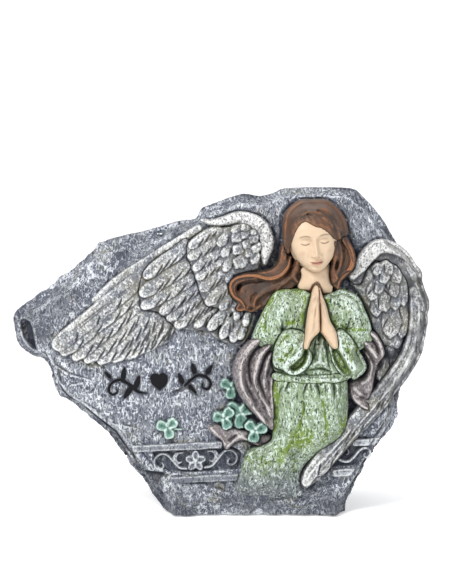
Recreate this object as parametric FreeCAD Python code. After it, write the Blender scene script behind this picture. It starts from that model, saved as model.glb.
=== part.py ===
"""Cast-resin garden planter: a broken slab of stone-look resin with a kneeling, praying angel in high relief
on its front and an open planting pocket behind. Millimetres, +Z up, front towards -Y, origin under the middle
of the object's box, at the level of the pads it stands on."""
import FreeCAD, Part
import math
import os

V = FreeCAD.Vector
os.makedirs("parts", exist_ok=True)

# ---- driving dimensions (mm) -------------------------------------------------------------------------------
WIDTH = 254.0            # overall, left roll to right wing tip
HEIGHT = 200.0           # overall, pads to the top of the stone
DEPTH = 114.0            # overall, praying hands to the back of the pocket
RELIEF = 34.0            # how far the hands stand in front of the carved face
POCKET_FRONT = 10.0      # stone left behind the carved face
BACK = DEPTH - RELIEF    # carved face to the back of the stone
PAD_PROUD = 1.2          # how far the pads lift the stone
PAD_R, PAD_H = 6.0, 2.2
RIM_BACK_Z = 128.0       # height of the rim at the back of the pocket
DRAIN_X, DRAIN_Y = 20.0, 40.0
DRAIN_R = 6.0            # drain hole
PLUG_GAP = 0.06          # radial running clearance of the plug
PLUG_FLANGE_R, PLUG_FLANGE_H = 9.0, 2.0
POCKET_FLOOR = 14.0
ENGRAVE_DEPTH = 1.2      # the engraved sprig
INLAY_H = 0.6            # dark enamel laid in the groove
SHIFT_Y = -(BACK - RELIEF) / 2.0   # brings the box's middle to y = 0

# ---- outlines in the front plane, (x, z) --------------------------------------------------------------------
ROCK = [
    (38.1, 199.4), (58.5, 200), (78, 199.4), (84.2, 195.2), (93, 186.3), (101.9, 174), (107.2, 163.7),
    (111.6, 149.5), (113.7, 131.8), (113.7, 114.1), (112.5, 96.4), (109.8, 82.3), (107.4, 71.6), (107.9, 62.4),
    (104.9, 55.7), (101, 49.5), (96, 42.4), (93, 36.6), (88.2, 30.9), (86.1, 26.5), (82.7, 19.4), (80.1, 14.1),
    (75.3, 9.3), (72.7, 1.2), (51.4, 1.2), (23.1, 1.2), (-3.5, 1.2), (-14.1, 1.2), (-22.9, 1.2), (-31.8, 2.6),
    (-37.1, 5.8), (-40.6, 10), (-45, 16.4), (-48.2, 22.1), (-52.1, 27.4), (-56.9, 31.3), (-60.1, 37.1),
    (-64, 42.4), (-68.1, 48.1), (-74.3, 53.9), (-83.1, 61), (-91.6, 67.8), (-97.6, 70.8), (-100.8, 74.8),
    (-102.9, 79.6), (-103.8, 84), (-105.2, 90.2), (-108.2, 95), (-116.7, 98.9), (-121.7, 102.1), (-125.2, 107.8),
    (-127, 117.7), (-126.3, 123.3), (-122.4, 127.8), (-109.7, 136.3), (-97.3, 146), (-84.9, 156.6),
    (-73.9, 166.3), (-61.9, 170.4), (-47.7, 173.4), (-26.5, 179.6), (-15.8, 180.9), (-12.3, 187), (-4.3, 190.6),
    (12.5, 196.1), (23.1, 194.5), (32.8, 197.3),
]
FACE = [
    (39, 195.2), (58.5, 196.1), (76.2, 195.5), (82.4, 190.6), (90.4, 182.8), (98.3, 171.1), (101.9, 161.9),
    (106.3, 147.8), (108.1, 130.1), (108.1, 114.1), (106.3, 96.4), (104.2, 82.3), (101.9, 69.9), (101.9, 61),
    (98.3, 53.9), (93.9, 46.9), (89.5, 38.9), (85.9, 31.8), (82.4, 25.6), (78.9, 18.5), (74.4, 14.1),
    (69.1, 10.6), (58.5, 8.3), (40.8, 6.5), (23.1, 7), (8.9, 7.6), (-5.2, 6.5), (-15.8, 5.8), (-26.5, 7),
    (-32.7, 10.6), (-35.3, 15), (-37.1, 20.3), (-44.2, 25.6), (-53, 35.4), (-55.7, 40.7), (-58.3, 46.9),
    (-65.4, 54.5), (-74.3, 59.3), (-83.1, 66.3), (-95.5, 76.1), (-100.8, 82.3), (-104.7, 89.3), (-107, 96.4),
    (-107.9, 101.7), (-104.3, 109.2), (-92, 121.2), (-77.8, 132.7), (-65.4, 142.1), (-51.2, 152.5),
    (-37.1, 162.6), (-22.9, 172), (-12.3, 179.6), (-1.7, 185.8), (12.5, 191.1), (23.1, 190.2), (31.9, 193.1),
]
LW_ARM = [
    (-22.9, 170.2), (-12.3, 178.2), (-1.7, 182.4), (10.7, 186.5), (21.3, 184.9), (28.4, 179.6), (30.5, 171.7),
    (28.8, 161.9), (25.8, 153.1), (22.7, 152), (21.7, 161.9), (21.3, 169.9), (16.4, 175.7), (5.4, 177.8),
    (-4.3, 175.7), (-14.1, 172.5), (-20.3, 168.3),
]
LW_COV = [
    (-20.3, 168.3), (-14.1, 172.5), (-4.3, 175.7), (5.4, 177.8), (16.4, 175.7), (21.3, 169.9), (21.7, 161.9),
    (22.7, 152), (16, 149.9), (5.4, 145.1), (5.4, 138), (9.3, 132.2), (5.4, 128.3), (-0.8, 127.4), (-8.4, 129.7),
    (-12.8, 135), (-14.4, 141), (-18.5, 153.1), (-21.2, 161),
]
LW_SEC = [
    (-22.9, 170.2), (-20.3, 168.3), (-21.2, 161), (-18.5, 153.1), (-14.4, 141), (-12.8, 135), (-8.4, 129.7),
    (-0.8, 127.4), (5.4, 128.3), (11.6, 126.2), (20.4, 124.4), (18.9, 115.9), (15.7, 108.5), (10.7, 104),
    (2.2, 106), (-4.9, 109.5), (-9.6, 113.9), (-19.4, 113.4), (-30, 117.3), (-37.6, 124.4), (-47.3, 127.2),
    (-50.5, 135), (-49.5, 146.5), (-43.8, 155.2), (-30, 165.1),
]
LW_PRI = [
    (-30, 165.1), (-43.8, 155.2), (-49.5, 146.5), (-50.5, 135), (-47.3, 127.2), (-37.6, 124.4), (-30, 117.3),
    (-36.7, 112), (-44.2, 106), (-51.2, 101.4), (-60.1, 98.5), (-68.9, 96.1), (-77.8, 95), (-84.9, 94.5),
    (-92, 96.1), (-98.1, 98.7), (-103.3, 103.2), (-104, 107.8), (-100.8, 112.4), (-90.2, 120.9), (-77.8, 131.1),
    (-65.4, 139.3), (-51.2, 149.9), (-37.1, 160.5),
]
RW_OUT = [
    (84.2, 154.8), (87.2, 161.6), (95.7, 165.8), (106.3, 164.7), (113.4, 160.5), (119.6, 153.1), (124, 143.9),
    (126.5, 135.4), (127, 128.3), (124.3, 126.5), (126.1, 117.7), (125.2, 109.7), (121.5, 107), (120.8, 101.7),
    (118.7, 96.4), (114.3, 87.6), (108.1, 77.3), (101, 66.3), (92.1, 55.7), (83.3, 46.9), (74.4, 36.6),
    (67.3, 28.6), (59.4, 20.7), (51.4, 15), (47.9, 18.2), (47.9, 25.6), (53.2, 34.5), (62, 41.6), (72.7, 51.8),
    (82.4, 61.4), (89.5, 68.5), (97.8, 79.1), (105.4, 91.1), (110.2, 101.7), (113.4, 114.1), (114.3, 124.7),
    (113, 135.4), (108.1, 146), (99.2, 154.8), (91.2, 155.7), (87.5, 147.8), (85, 142.1), (79, 142.8),
    (81.9, 147.8),
]
RW_COV = [
    (87.5, 147.8), (91.2, 155.7), (99.2, 154.8), (108.1, 146), (113, 135.4), (114.3, 124.7), (113.4, 114.1),
    (110.2, 101.7), (102.7, 103.5), (93.9, 107.4), (92, 114.1), (90.4, 123), (87.2, 131.8), (82.9, 138),
    (79, 142.8), (85, 142.1),
]
RW_SEC = [
    (93.9, 107.4), (102.7, 103.5), (110.2, 101.7), (105.4, 91.1), (97.8, 81.4), (93.9, 83.2), (93.2, 89.3),
    (93.9, 96.4),
]
SKIRT = [
    (31.1, 84), (54.1, 82.8), (76.2, 83.7), (77.6, 71.6), (77.3, 61), (74.8, 50.8), (67.3, 43.7), (55.8, 35.9),
    (49.1, 27.4), (48.2, 18.5), (50, 14.1), (47.9, 10.6), (33.7, 9.7), (21.3, 10.8), (9.3, 13.2), (10.7, 23.9),
    (16, 38.9), (24, 42.4), (30.5, 46), (31.2, 53.9), (30.5, 64.6), (29.3, 75.2),
]
BODICE = [
    (47, 140), (33.7, 138.6), (27.5, 130.1), (22.2, 119.4), (18.1, 107.8), (23.1, 104.4), (31.9, 100),
    (32.8, 89), (54.1, 87.9), (76.2, 89), (80.6, 98.2), (87.2, 103.5), (92.1, 107.8), (91.2, 117.7),
    (87.7, 126.5), (83.3, 135), (74.1, 140), (67.3, 137.5), (58, 135.4),
]
SLEEVE_L = [
    (39, 115.5), (49.6, 113.8), (50.7, 107), (54.6, 100), (52.5, 93.6), (46.1, 88.6), (40.8, 88.6), (36.4, 91.5),
    (31.6, 92.9), (31.2, 100), (33.4, 108.8),
]
SLEEVE_R = [
    (70, 115.5), (75.3, 113.8), (81.2, 106), (86.5, 97.8), (88.6, 91.5), (85, 86.5), (78.9, 84), (71.8, 88.6),
    (67.3, 95.5), (65.6, 101.7), (64.5, 106),
]
BELT = [
    (32.8, 89), (54.1, 87.8), (76.7, 88.6), (76.7, 84), (54.1, 82.8), (32.3, 84),
]
SHAWL_L = [
    (40.8, 118), (28.4, 112.7), (18.7, 107.8), (11.6, 100.9), (8.2, 91.1), (8.9, 80.8), (13.4, 71.6),
    (21.3, 61.9), (30.2, 52.5), (31.4, 59.3), (29.3, 66.3), (24, 74.8), (21, 82.3), (24, 85.8), (30.2, 90.2),
    (31.1, 100), (33.4, 109.2),
]
SHAWL_R = [
    (74.4, 115), (84.2, 115.5), (92.5, 112.7), (98.5, 100.3), (94.3, 92.9), (91.8, 82.3), (88.9, 65.1),
    (78.9, 70.8), (76.7, 82.3), (85.4, 85.1), (88.9, 92), (86.5, 98.5), (81.5, 106.7),
]
SHAWL_E = [
    (-8.8, 54.3), (-1.3, 55.7), (10.7, 52.5), (22.2, 50.4), (31.1, 49), (31.1, 45.5), (23.1, 42.3), (14.2, 45.8),
    (7.5, 43.7), (2.7, 39.1), (-0.3, 46), (-4.9, 48.3),
]
FACEOV = [
    (55.8, 176.8), (47.9, 176.4), (42.6, 172.5), (41.5, 165.5), (42.9, 158.4), (47, 152.7), (51.4, 149.2),
    (55.8, 148.1), (60.6, 149.2), (65.6, 153.1), (68.8, 158.7), (70.2, 165.8), (69.1, 172.5), (63.8, 175.7),
]
NECK = [
    (49.6, 151.3), (48.8, 146), (47, 140), (58, 135.4), (67.3, 137.5), (65.9, 146), (65.6, 153.1),
]
HAIR_CAP = [
    (40.8, 161), (38.1, 161.9), (36.2, 169.9), (36.6, 176.1), (40.8, 184.9), (49.3, 191.7), (57.6, 193.4),
    (66.5, 189.9), (72.7, 181.4), (75.5, 172.5), (70, 171.5), (67.3, 174.3), (59.4, 177.8), (51.4, 180),
    (47.9, 177), (42.9, 172.5), (41.5, 165.5),
]
HAIR_L = [
    (40.8, 161), (38.1, 156.6), (30.2, 153.1), (17.8, 151.3), (8.1, 148.6), (4.9, 143.9), (5.4, 138.6),
    (9.6, 132.5), (6.8, 127.9), (12.8, 126.2), (18.1, 125.3), (24.2, 127.2), (30.5, 131.8), (33.7, 138.6),
    (47, 142.4), (48.9, 147.4), (44.3, 153.1),
]
HAIR_R = [
    (70, 171.5), (75.5, 172.5), (77.3, 167.6), (80.1, 161.9), (80.8, 154.8), (78.9, 147.8), (74.8, 143.2),
    (73.5, 136.3), (68.8, 139.6), (65.9, 146), (66.6, 153.1), (69.1, 158.7), (70.2, 165.8),
]
HAND_L = [
    (58, 144.2), (55.7, 140.3), (53.9, 131.8), (52.5, 123), (51.4, 114.1), (50.7, 107.8), (55.3, 107.8),
    (57.8, 114.1),
]
HAND_R = [
    (58, 144.2), (60.6, 140.3), (62.4, 131.8), (63.5, 123), (67, 115.5), (70.2, 107.8), (64.5, 106.7),
    (57.8, 114.1),
]

# the pocket's section, seen from the front; it runs up past the stone so that the mouth is open
POCKET = [
    (-60, 250), (-60, 88), (-53, 70), (-41, 47), (-30, 30), (-19, POCKET_FLOOR), (59, POCKET_FLOOR),
    (69, 28), (80, 47), (87, 69), (91, 94), (92, 135), (90, 250),
]
# the stone's section at the back, which is smaller than the front
BACK_OUTLINE = [
    (-94, 107), (-83, 121), (-62, 142), (-44, 153), (-23, 163), (5.4, 172), (41, 174), (76, 170), (92, 153),
    (101, 132), (103, 107), (98, 72), (89, 47), (80, 29), (71, 15), (67, 1.2), (-21, 1.2), (-30, 8), (-41, 18),
    (-51, 36), (-65, 54), (-83, 72), (-92, 86),
]


# ---- helpers -------------------------------------------------------------------------------------------------
def area2(pts):
    return sum(a[0] * b[1] - b[0] * a[1] for a, b in zip(pts, pts[1:] + pts[:1]))


def ccw(pts):
    return pts if area2(pts) > 0 else pts[::-1]


def offset_in(pts, e):
    """The polygon with every edge moved inwards by e; e is halved until no edge turns over."""
    pts = ccw(pts)
    n = len(pts)
    while e > 0.02:
        out = []
        ok = True
        for i in range(n):
            a, b, c = pts[i - 1], pts[i], pts[(i + 1) % n]
            ux, uz = b[0] - a[0], b[1] - a[1]
            vx, vz = c[0] - b[0], c[1] - b[1]
            lu, lv = math.hypot(ux, uz), math.hypot(vx, vz)
            n1 = (-uz / lu, ux / lu)
            n2 = (-vz / lv, vx / lv)
            k = 1 + n1[0] * n2[0] + n1[1] * n2[1]
            if k < 0.15:
                k = 0.15
            out.append((b[0] + e * (n1[0] + n2[0]) / k, b[1] + e * (n1[1] + n2[1]) / k))
        for i in range(n):
            p, q = pts[i], pts[(i + 1) % n]
            r, s = out[i], out[(i + 1) % n]
            if (q[0] - p[0]) * (s[0] - r[0]) + (q[1] - p[1]) * (s[1] - r[1]) <= 0.02:
                ok = False
                break
        if ok and crosses(out):
            ok = False
        if ok:
            return out
        e *= 0.6
    return pts


def crosses(pts):
    n = len(pts)

    def side(a, b, c):
        return (b[0] - a[0]) * (c[1] - a[1]) - (b[1] - a[1]) * (c[0] - a[0])

    for i in range(n):
        a, b = pts[i], pts[(i + 1) % n]
        for j in range(i + 2, n):
            if i == 0 and j == n - 1:
                continue
            c, d = pts[j], pts[(j + 1) % n]
            if side(a, b, c) * side(a, b, d) < 0 and side(c, d, a) * side(c, d, b) < 0:
                return True
    return False


def wire(pts, depth):
    """A closed wire in the plane that is depth in front of the carved face."""
    y = -depth + SHIFT_Y
    v = [V(x, y, z) for x, z in pts]
    return Part.makePolygon(v + [v[0]])


def stack(sections):
    """A solid through (polygon, depth) sections that have the same number of corners."""
    return Part.makeLoft([wire(p, d) for p, d in sections], True, True)


def plate(pts, d0, d1, bevel=1.5):
    pts = ccw(pts)
    return stack([(pts, d0), (pts, d1 - bevel), (offset_in(pts, bevel * 0.8), d1)])


def dome(pts, d0, d1, e):
    """A plate with a rounded, cushion-like front."""
    pts = ccw(pts)
    h = d1 - d0
    a = offset_in(pts, 0.12 * e)
    b = offset_in(pts, 0.40 * e)
    c = offset_in(pts, e)
    return stack([(pts, d0), (pts, d0 + 0.45 * h), (a, d0 + 0.66 * h), (b, d0 + 0.86 * h), (c, d1)])


def ray(pts, centre, ang):
    """How far the polygon's edge is from the centre in a direction."""
    dx, dz = math.cos(ang), math.sin(ang)
    best = 0.0
    for a, b in zip(pts, pts[1:] + pts[:1]):
        ax, az, bx, bz = a[0] - centre[0], a[1] - centre[1], b[0] - centre[0], b[1] - centre[1]
        ex, ez = bx - ax, bz - az
        den = dx * ez - dz * ex
        if abs(den) < 1e-12:
            continue
        t = (ax * ez - az * ex) / den
        s = (ax * dz - az * dx) / den
        if t > 0 and -1e-9 <= s <= 1 + 1e-9:
            best = max(best, t)
    return best


def stroke(pts, widths):
    """A closed outline round a line of changing width."""
    n = len(pts)
    left, right = [], []
    for i in range(n):
        a, b = pts[max(i - 1, 0)], pts[min(i + 1, n - 1)]
        tx, tz = b[0] - a[0], b[1] - a[1]
        l = math.hypot(tx, tz)
        w = widths[i] / 2.0
        left.append((pts[i][0] - tz / l * w, pts[i][1] + tx / l * w))
        right.append((pts[i][0] + tz / l * w, pts[i][1] - tx / l * w))
    return left + right[::-1]


def smooth_line(ctrl, n):
    """n points along a Catmull-Rom line through the given points."""
    p = [ctrl[0]] + list(ctrl) + [ctrl[-1]]
    segs = len(ctrl) - 1
    out = []
    for k in range(n):
        u = k * segs / (n - 1.0)
        i = min(int(u), segs - 1)
        t = u - i
        a, b, c, d = p[i], p[i + 1], p[i + 2], p[i + 3]
        out.append(tuple(
            0.5 * (2 * b[m] + (c[m] - a[m]) * t + (2 * a[m] - 5 * b[m] + 4 * c[m] - d[m]) * t * t
                   + (3 * b[m] - a[m] - 3 * c[m] + d[m]) * t ** 3) for m in (0, 1)))
    return out


def prism(pts, d0, d1):
    pts = ccw(pts)
    w = wire(pts, d0)
    return Part.Face(w).extrude(V(0, -(d1 - d0), 0))


def cylinder(r, x, y, z0, z1):
    return Part.makeCylinder(r, z1 - z0, V(x, y + SHIFT_Y, z0), V(0, 0, 1))


# ---- the stone ---------------------------------------------------------------------------------------------
CENTRE = (0.0, 92.0)
rock_ccw = ccw(ROCK)
angles = [math.atan2(z - CENTRE[1], x - CENTRE[0]) for x, z in rock_ccw]
r_rock = [ray(rock_ccw, CENTRE, a) for a in angles]
r_face = [min(ray(ccw(FACE), CENTRE, a), r - 0.6) for a, r in zip(angles, r_rock)]
r_back = [min(ray(ccw(BACK_OUTLINE), CENTRE, a), r * 0.985) for a, r in zip(angles, r_rock)]


def ring(radii, foot=PAD_PROUD):
    """One section of the stone; the corners along its foot stay level."""
    pts = [(CENTRE[0] + r * math.cos(a), CENTRE[1] + r * math.sin(a)) for r, a in zip(radii, angles)]
    return [(x, foot) if base[1] < PAD_PROUD + 0.1 else (x, max(z, foot)) for (x, z), base in zip(pts, rock_ccw)]


def blend(a, b, t):
    return [p + (q - p) * t for p, q in zip(a, b)]


stone = stack([
    (ring(r_face), 0.0),
    (ring(blend(r_face, r_rock, 0.72)), -6.0),
    (ring(r_rock), -14.0),
    (ring([r * 0.985 for r in r_rock]), -26.0),
    (ring(blend(r_rock, r_back, 0.75)), -36.0),
    (ring(r_back), -60.0),
    (ring([r * 0.965 for r in r_back]), -(BACK - 4.0)),
    (ring([r * 0.92 for r in r_back], PAD_PROUD + 4.0), -BACK),
])
# rough ledge under the frieze, which carries the front of the base
LEDGE = [(-31, 1.2), (72, 1.2), (77, 9), (70, 13), (48, 12), (20, 14.5), (-8, 15), (-30, 17), (-36, 12), (-35, 5)]
ledge = stack([(ccw(LEDGE), -3.0), (ccw(LEDGE), 6.0), ([(x, max(1.2, z - 2.5)) for x, z in offset_in(LEDGE, 2.0)], 10.0)])
stone = stone.fuse(ledge).removeSplitter()
pocket = stack([(ccw(POCKET), -POCKET_FRONT), ([(x * 0.985, z) for x, z in ccw(POCKET)], -(BACK - 7.5))])
# the rim falls from the carved slab to the back
fall = Part.makePolygon([V(-150, y + SHIFT_Y, z) for y, z in
                         [(15, 260), (15, 186), (28, 160), (50, 138), (BACK + 5, RIM_BACK_Z - 2), (BACK + 5, 260), (15, 260)]])
fall = Part.Face(fall).extrude(V(300, 0, 0))
stone = stone.cut(fall).cut(pocket)
# drain hole with a seat for the plug's flange
stone = stone.cut(cylinder(DRAIN_R, DRAIN_X, DRAIN_Y, -5, 30))
stone = stone.cut(cylinder(PLUG_FLANGE_R + 1.0, DRAIN_X, DRAIN_Y, -5, PAD_PROUD + PLUG_FLANGE_H + 1.2))

# ---- pads and plug -------------------------------------------------------------------------------------------
pads = []
for px, py in ((-20, -2), (62, -2), (-12, 68), (56, 68)):
    pads.append(cylinder(PAD_R, px, py, 0.0, PAD_H))
    stone = stone.cut(cylinder(PAD_R, px, py, -5, PAD_H))
flange_z = PAD_PROUD + 0.9
plug = cylinder(PLUG_FLANGE_R, DRAIN_X, DRAIN_Y, flange_z, flange_z + PLUG_FLANGE_H)
plug = plug.fuse(cylinder(DRAIN_R - PLUG_GAP, DRAIN_X, DRAIN_Y, flange_z + PLUG_FLANGE_H, POCKET_FLOOR + 1.0))
plug = plug.cut(cylinder(2.6, DRAIN_X, DRAIN_Y, POCKET_FLOOR - 6.0, POCKET_FLOOR + 2.0))
tab = Part.makeBox(7.0, 2.4, 1.0, V(DRAIN_X - 3.5, DRAIN_Y - 1.2 + SHIFT_Y, flange_z - 0.7))
plug = plug.fuse(tab).removeSplitter()

# ---- engraved sprig: two mirrored scrolls of leaves and a heart ----------------------------------------------
SPRIG_C = (-38.5, 81.0)      # its middle on the face
SPRIG_TILT = math.radians(3.4)


def sprig_point(u, w):
    c, s = math.cos(SPRIG_TILT), math.sin(SPRIG_TILT)
    return (SPRIG_C[0] + u * c - w * s, SPRIG_C[1] + u * s + w * c)


def leaf(u, w, length, width, turn):
    pts = []
    for k in range(14):
        t = 2 * math.pi * k / 14.0
        lx = length / 2 * math.cos(t)
        lw = width / 2 * math.sin(t) * (1 - 0.35 * math.cos(t))
        pts.append((u + lx * math.cos(turn) - lw * math.sin(turn), w + lx * math.sin(turn) + lw * math.cos(turn)))
    return pts


def heart(scale):
    pts = []
    for k in range(28):
        t = 2 * math.pi * (k + 0.5) / 28.0
        pts.append((scale * 16 * math.sin(t) ** 3 / 16.0,
                    scale * (13 * math.cos(t) - 5 * math.cos(2 * t) - 2 * math.cos(3 * t) - math.cos(4 * t)) / 16.0))
    return pts


VINE = [(8.2, -6.0), (13.5, -4.6), (18.5, 0.0), (24.0, 3.2), (29.5, 1.6), (31.6, -2.6), (29.4, -5.6), (26.4, -4.2), (26.6, -1.8)]
VINE_W = [0.7, 1.7, 2.1, 1.9, 1.9, 1.7, 1.5, 1.2, 0.9]
LEAVES = [(13.4, 1.6, 7.6, 3.1, 1.9), (20.2, -5.2, 7.8, 3.1, -0.95), (21.6, 7.4, 7.4, 2.9, 1.75), (31.4, 6.6, 6.6, 2.7, 0.9)]
marks = []
for side in (1, -1):
    line = smooth_line(VINE, 26)
    wid = [w for w, _ in smooth_line([(w, 0) for w in VINE_W], 26)]
    marks.append([(side * u, w) for u, w in stroke(line, wid)])
    for u, w, l, b, a in LEAVES:
        marks.append([(side * p, q) for p, q in leaf(u, w, l, b, a)])
marks.append(heart(6.4))
engraving = None
inlay = []
for m in marks:
    m = ccw([sprig_point(u, w) for u, w in m])
    cutter = prism(m, -ENGRAVE_DEPTH, 0.5)
    engraving = cutter if engraving is None else engraving.fuse(cutter)
    inlay.append(m)
stone = stone.cut(engraving)
inlay_solid = None
for m in inlay:
    s = prism(m, -ENGRAVE_DEPTH, -ENGRAVE_DEPTH + INLAY_H)
    inlay_solid = s if inlay_solid is None else inlay_solid.fuse(s)
inlay_solid = inlay_solid.removeSplitter()

# ---- carved parts, front-most first ---------------------------------------------------------------------------
parts = []          # (node, shape)


def place(node, shape):
    """Seats a part: what earlier parts already fill is taken out of it."""
    for _, other in parts:
        if shape.BoundBox.intersect(other.BoundBox):
            shape = shape.cut(other)
    solids = [s for s in shape.Solids if s.Volume > 4.0]
    shape = solids[0] if len(solids) == 1 else Part.makeCompound(solids)
    parts.append((node, shape))


def ellipsoid(cx, d, cz, ax, ay, az):
    s = Part.makeSphere(1.0)
    m = FreeCAD.Matrix(ax, 0, 0, cx, 0, ay, 0, -d + SHIFT_Y, 0, 0, az, cz, 0, 0, 0, 1)
    return s.transformGeometry(m)


place("hand_left", dome(HAND_L, 14, RELIEF, 1.8))
place("hand_right", dome(HAND_R, 14, RELIEF - 0.5, 1.8))
MOUTH_L = [(50.0, 104.5), (52.6, 97), (50.0, 92.2), (45.6, 89.6), (41.8, 90.2), (39.2, 92.4), (41.5, 97), (46.0, 101.5)]
MOUTH_R = [(70.4, 104.5), (75.2, 101), (80.6, 93.6), (83.4, 88.4), (80.6, 86.0), (75.5, 89), (71.5, 95.5)]
place("sleeve_left", dome(SLEEVE_L, 12, 29.5, 3.5).cut(prism(MOUTH_L, 22, 40)))
place("sleeve_right", dome(SLEEVE_R, 12, 29.5, 3.5).cut(prism(MOUTH_R, 22, 40)))
place("sash", plate(BELT, 15, 23.5, 1.6))
place("head", ellipsoid(56.0, 17.0, 163.5, 15.0, 13.8, 16.6))
place("neck", dome(NECK, 4, 19, 3.0))
place("hair_crown", dome(HAIR_CAP, 0, 28.5, 5.0))
place("hair_lock_left", dome(HAIR_L, 0, 14, 4.0))
place("hair_lock_right", dome(HAIR_R, 0, 19, 4.0))
place("right_wing_primaries", dome(RW_OUT, -5, 14, 3.0))
place("bodice", dome(BODICE, 0, 20, 7.0))
place("skirt", dome(SKIRT, 0, 22, 9.0))
place("mantle_left", dome(SHAWL_L, 0, 16.5, 3.5))
place("mantle_right", dome(SHAWL_R, 0, 16.5, 3.5))
place("mantle_end", dome(SHAWL_E, 0, 7.0, 2.0))
place("left_wing_arm", dome(LW_ARM, 0, 10, 3.0))
place("left_wing_coverts", plate(LW_COV, 0, 8.0, 1.2))
place("left_wing_secondaries", plate(LW_SEC, 0, 6.0, 1.2))
place("left_wing_primaries", plate(LW_PRI, 0, 4.5, 1.2))
place("right_wing_coverts", plate(RW_COV, -5, 9.0, 1.2))
place("right_wing_secondaries", plate(RW_SEC, -5, 5.5, 1.2))


def clover(cx, cz, size, turn, lobes=3):
    shape = None
    for k in range(lobes):
        a = turn + 2 * math.pi * k / lobes
        pts = []
        for j in range(16):
            t = 2 * math.pi * j / 16.0
            r = size * 0.5 * (1 - 0.16 * math.exp(-(t / 0.45) ** 2) - 0.16 * math.exp(-((t - 2 * math.pi) / 0.45) ** 2))
            lx, lz = size * 0.53 + r * math.cos(t), r * 0.92 * math.sin(t)
            pts.append((cx + lx * math.cos(a) - lz * math.sin(a), cz + lx * math.sin(a) + lz * math.cos(a)))
        s = prism(pts, 0, 1)
        shape = s if shape is None else shape.fuse(s)
    stem = [(cx, cz), (cx + size * 0.5 * math.cos(turn - 1.05), cz + size * 0.6 * math.sin(turn - 1.05)),
            (cx + size * 1.2 * math.cos(turn - 0.9), cz + size * 1.2 * math.sin(turn - 0.9))]
    return shape.fuse(prism(stroke(stem, [1.4, 1.2, 1.2]), 0, 1)).removeSplitter()


def raised(shape, d0, d1):
    """Stretches a 1 mm thick outline to lie between two depths."""
    m = FreeCAD.Matrix(1, 0, 0, 0, 0, (d1 - d0), 0, (d1 - d0 - 1) * -SHIFT_Y - d0, 0, 0, 1, 0, 0, 0, 0, 1)
    return shape.transformGeometry(m)


place("clover_front", raised(clover(20.6, 52.5, 7.4, 0.3), 0, 9.0))
place("clover_left", raised(clover(1.6, 60.0, 7.0, 0.9), 0, 6.0))
place("clover_back", raised(clover(11.6, 62.8, 8.6, 0.6), 0, 4.0))
place("clover_upper", raised(clover(5.6, 78.6, 6.6, 0.5), 0, 4.0))
place("clover_single", raised(clover(-33.4, 53.6, 7.2, 0.75), 0, 3.5))

# ---- frieze -----------------------------------------------------------------------------------------------------
def band(x0, z0, x1, z1, h):
    return [(x0, z0), (x1, z1), (x1, z1 - h), (x0, z0 - h)]


place("frieze_upper_rail", Part.makeCompound([
    plate(band(-56.0, 42.6, 0.6, 45.2, 4.9), 0, 3.0, 0.8), plate(band(80.0, 46.4, 97.6, 47.2, 4.4), 0, 3.0, 0.8)]))
place("frieze_lower_rail", Part.makeCompound([
    plate(band(-33.6, 22.8, 10.6, 25.0, 4.6), 0, 3.0, 0.8), plate(band(70.0, 27.4, 86.6, 28.6, 4.2), 0, 3.0, 0.8)]))


def scroll(ctrl, w0, w1, n=30):
    line = smooth_line(ctrl, n)
    return stroke(line, [w0 + (w1 - w0) * k / (n - 1.0) for k in range(n)])


ROS = (-16.2, 32.6)
SCROLL = [(5.4, -4.4), (10.0, -3.6), (14.0, 0.6), (18.0, 5.0), (22.4, 5.2), (25.6, 1.6), (24.6, -2.6), (21.4, -3.8), (19.6, -1.6), (21.2, 0.4)]
CURL = [(7.2, 5.6), (10.8, 5.2), (12.2, 1.8), (10.2, -0.8), (8.2, 0.2)]
strokes = []
for side in (1, -1):
    strokes.append([(ROS[0] + side * u, ROS[1] + 0.06 * side * u + w) for u, w in scroll(SCROLL, 2.0, 1.3)])
    strokes.append([(ROS[0] + side * u, ROS[1] + 0.06 * side * u + w) for u, w in scroll(CURL, 1.6, 1.1, 16)])
RS = [(72.6, 33.4), (77.6, 32.2), (81.6, 35.0), (85.6, 39.8), (89.8, 40.6), (92.2, 37.4), (90.4, 34.4), (87.8, 35.6), (88.8, 37.6)]
strokes.append(scroll(RS, 1.8, 1.1))
scrolls = [prism(s, 0, 2.4) for s in strokes]
joined = scrolls[0]
for s in scrolls[1:]:
    joined = joined.fuse(s)
petals = None
for k in range(5):
    a = math.pi / 2 + 2 * math.pi * k / 5.0
    pts = [(ROS[0] + 3.4 * math.cos(a) + 2.6 * math.cos(t) * math.cos(a) - 1.9 * math.sin(t) * math.sin(a),
            ROS[1] + 3.4 * math.sin(a) + 2.6 * math.cos(t) * math.sin(a) + 1.9 * math.sin(t) * math.cos(a))
           for t in [2 * math.pi * j / 12.0 for j in range(12)]]
    s = prism(pts, 0, 3.0)
    petals = s if petals is None else petals.fuse(s)
petals = petals.fuse(prism([(ROS[0] + 1.4 * math.cos(t), ROS[1] + 1.4 * math.sin(t)) for t in
                            [2 * math.pi * j / 10.0 for j in range(10)]], 0, 3.8)).removeSplitter()
place("frieze_rosette", petals)
place("frieze_scrolls", joined.removeSplitter())

# ---- what stands on the stone is seated in it ------------------------------------------------------------------
front = [(n, s) for n, s in parts]
for n, s in front:
    if s.optimalBoundingBox(True, False).YMax > SHIFT_Y + 0.05:
        stone = stone.cut(s)
for n, s in front:
    if s.BoundBox.intersect(ledge.BoundBox) and s.optimalBoundingBox(True, False).YMax <= SHIFT_Y + 0.05:
        stone = stone.cut(s)
keep = sorted(stone.Solids, key=lambda q: -q.Volume)
stone = keep[0]

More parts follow.
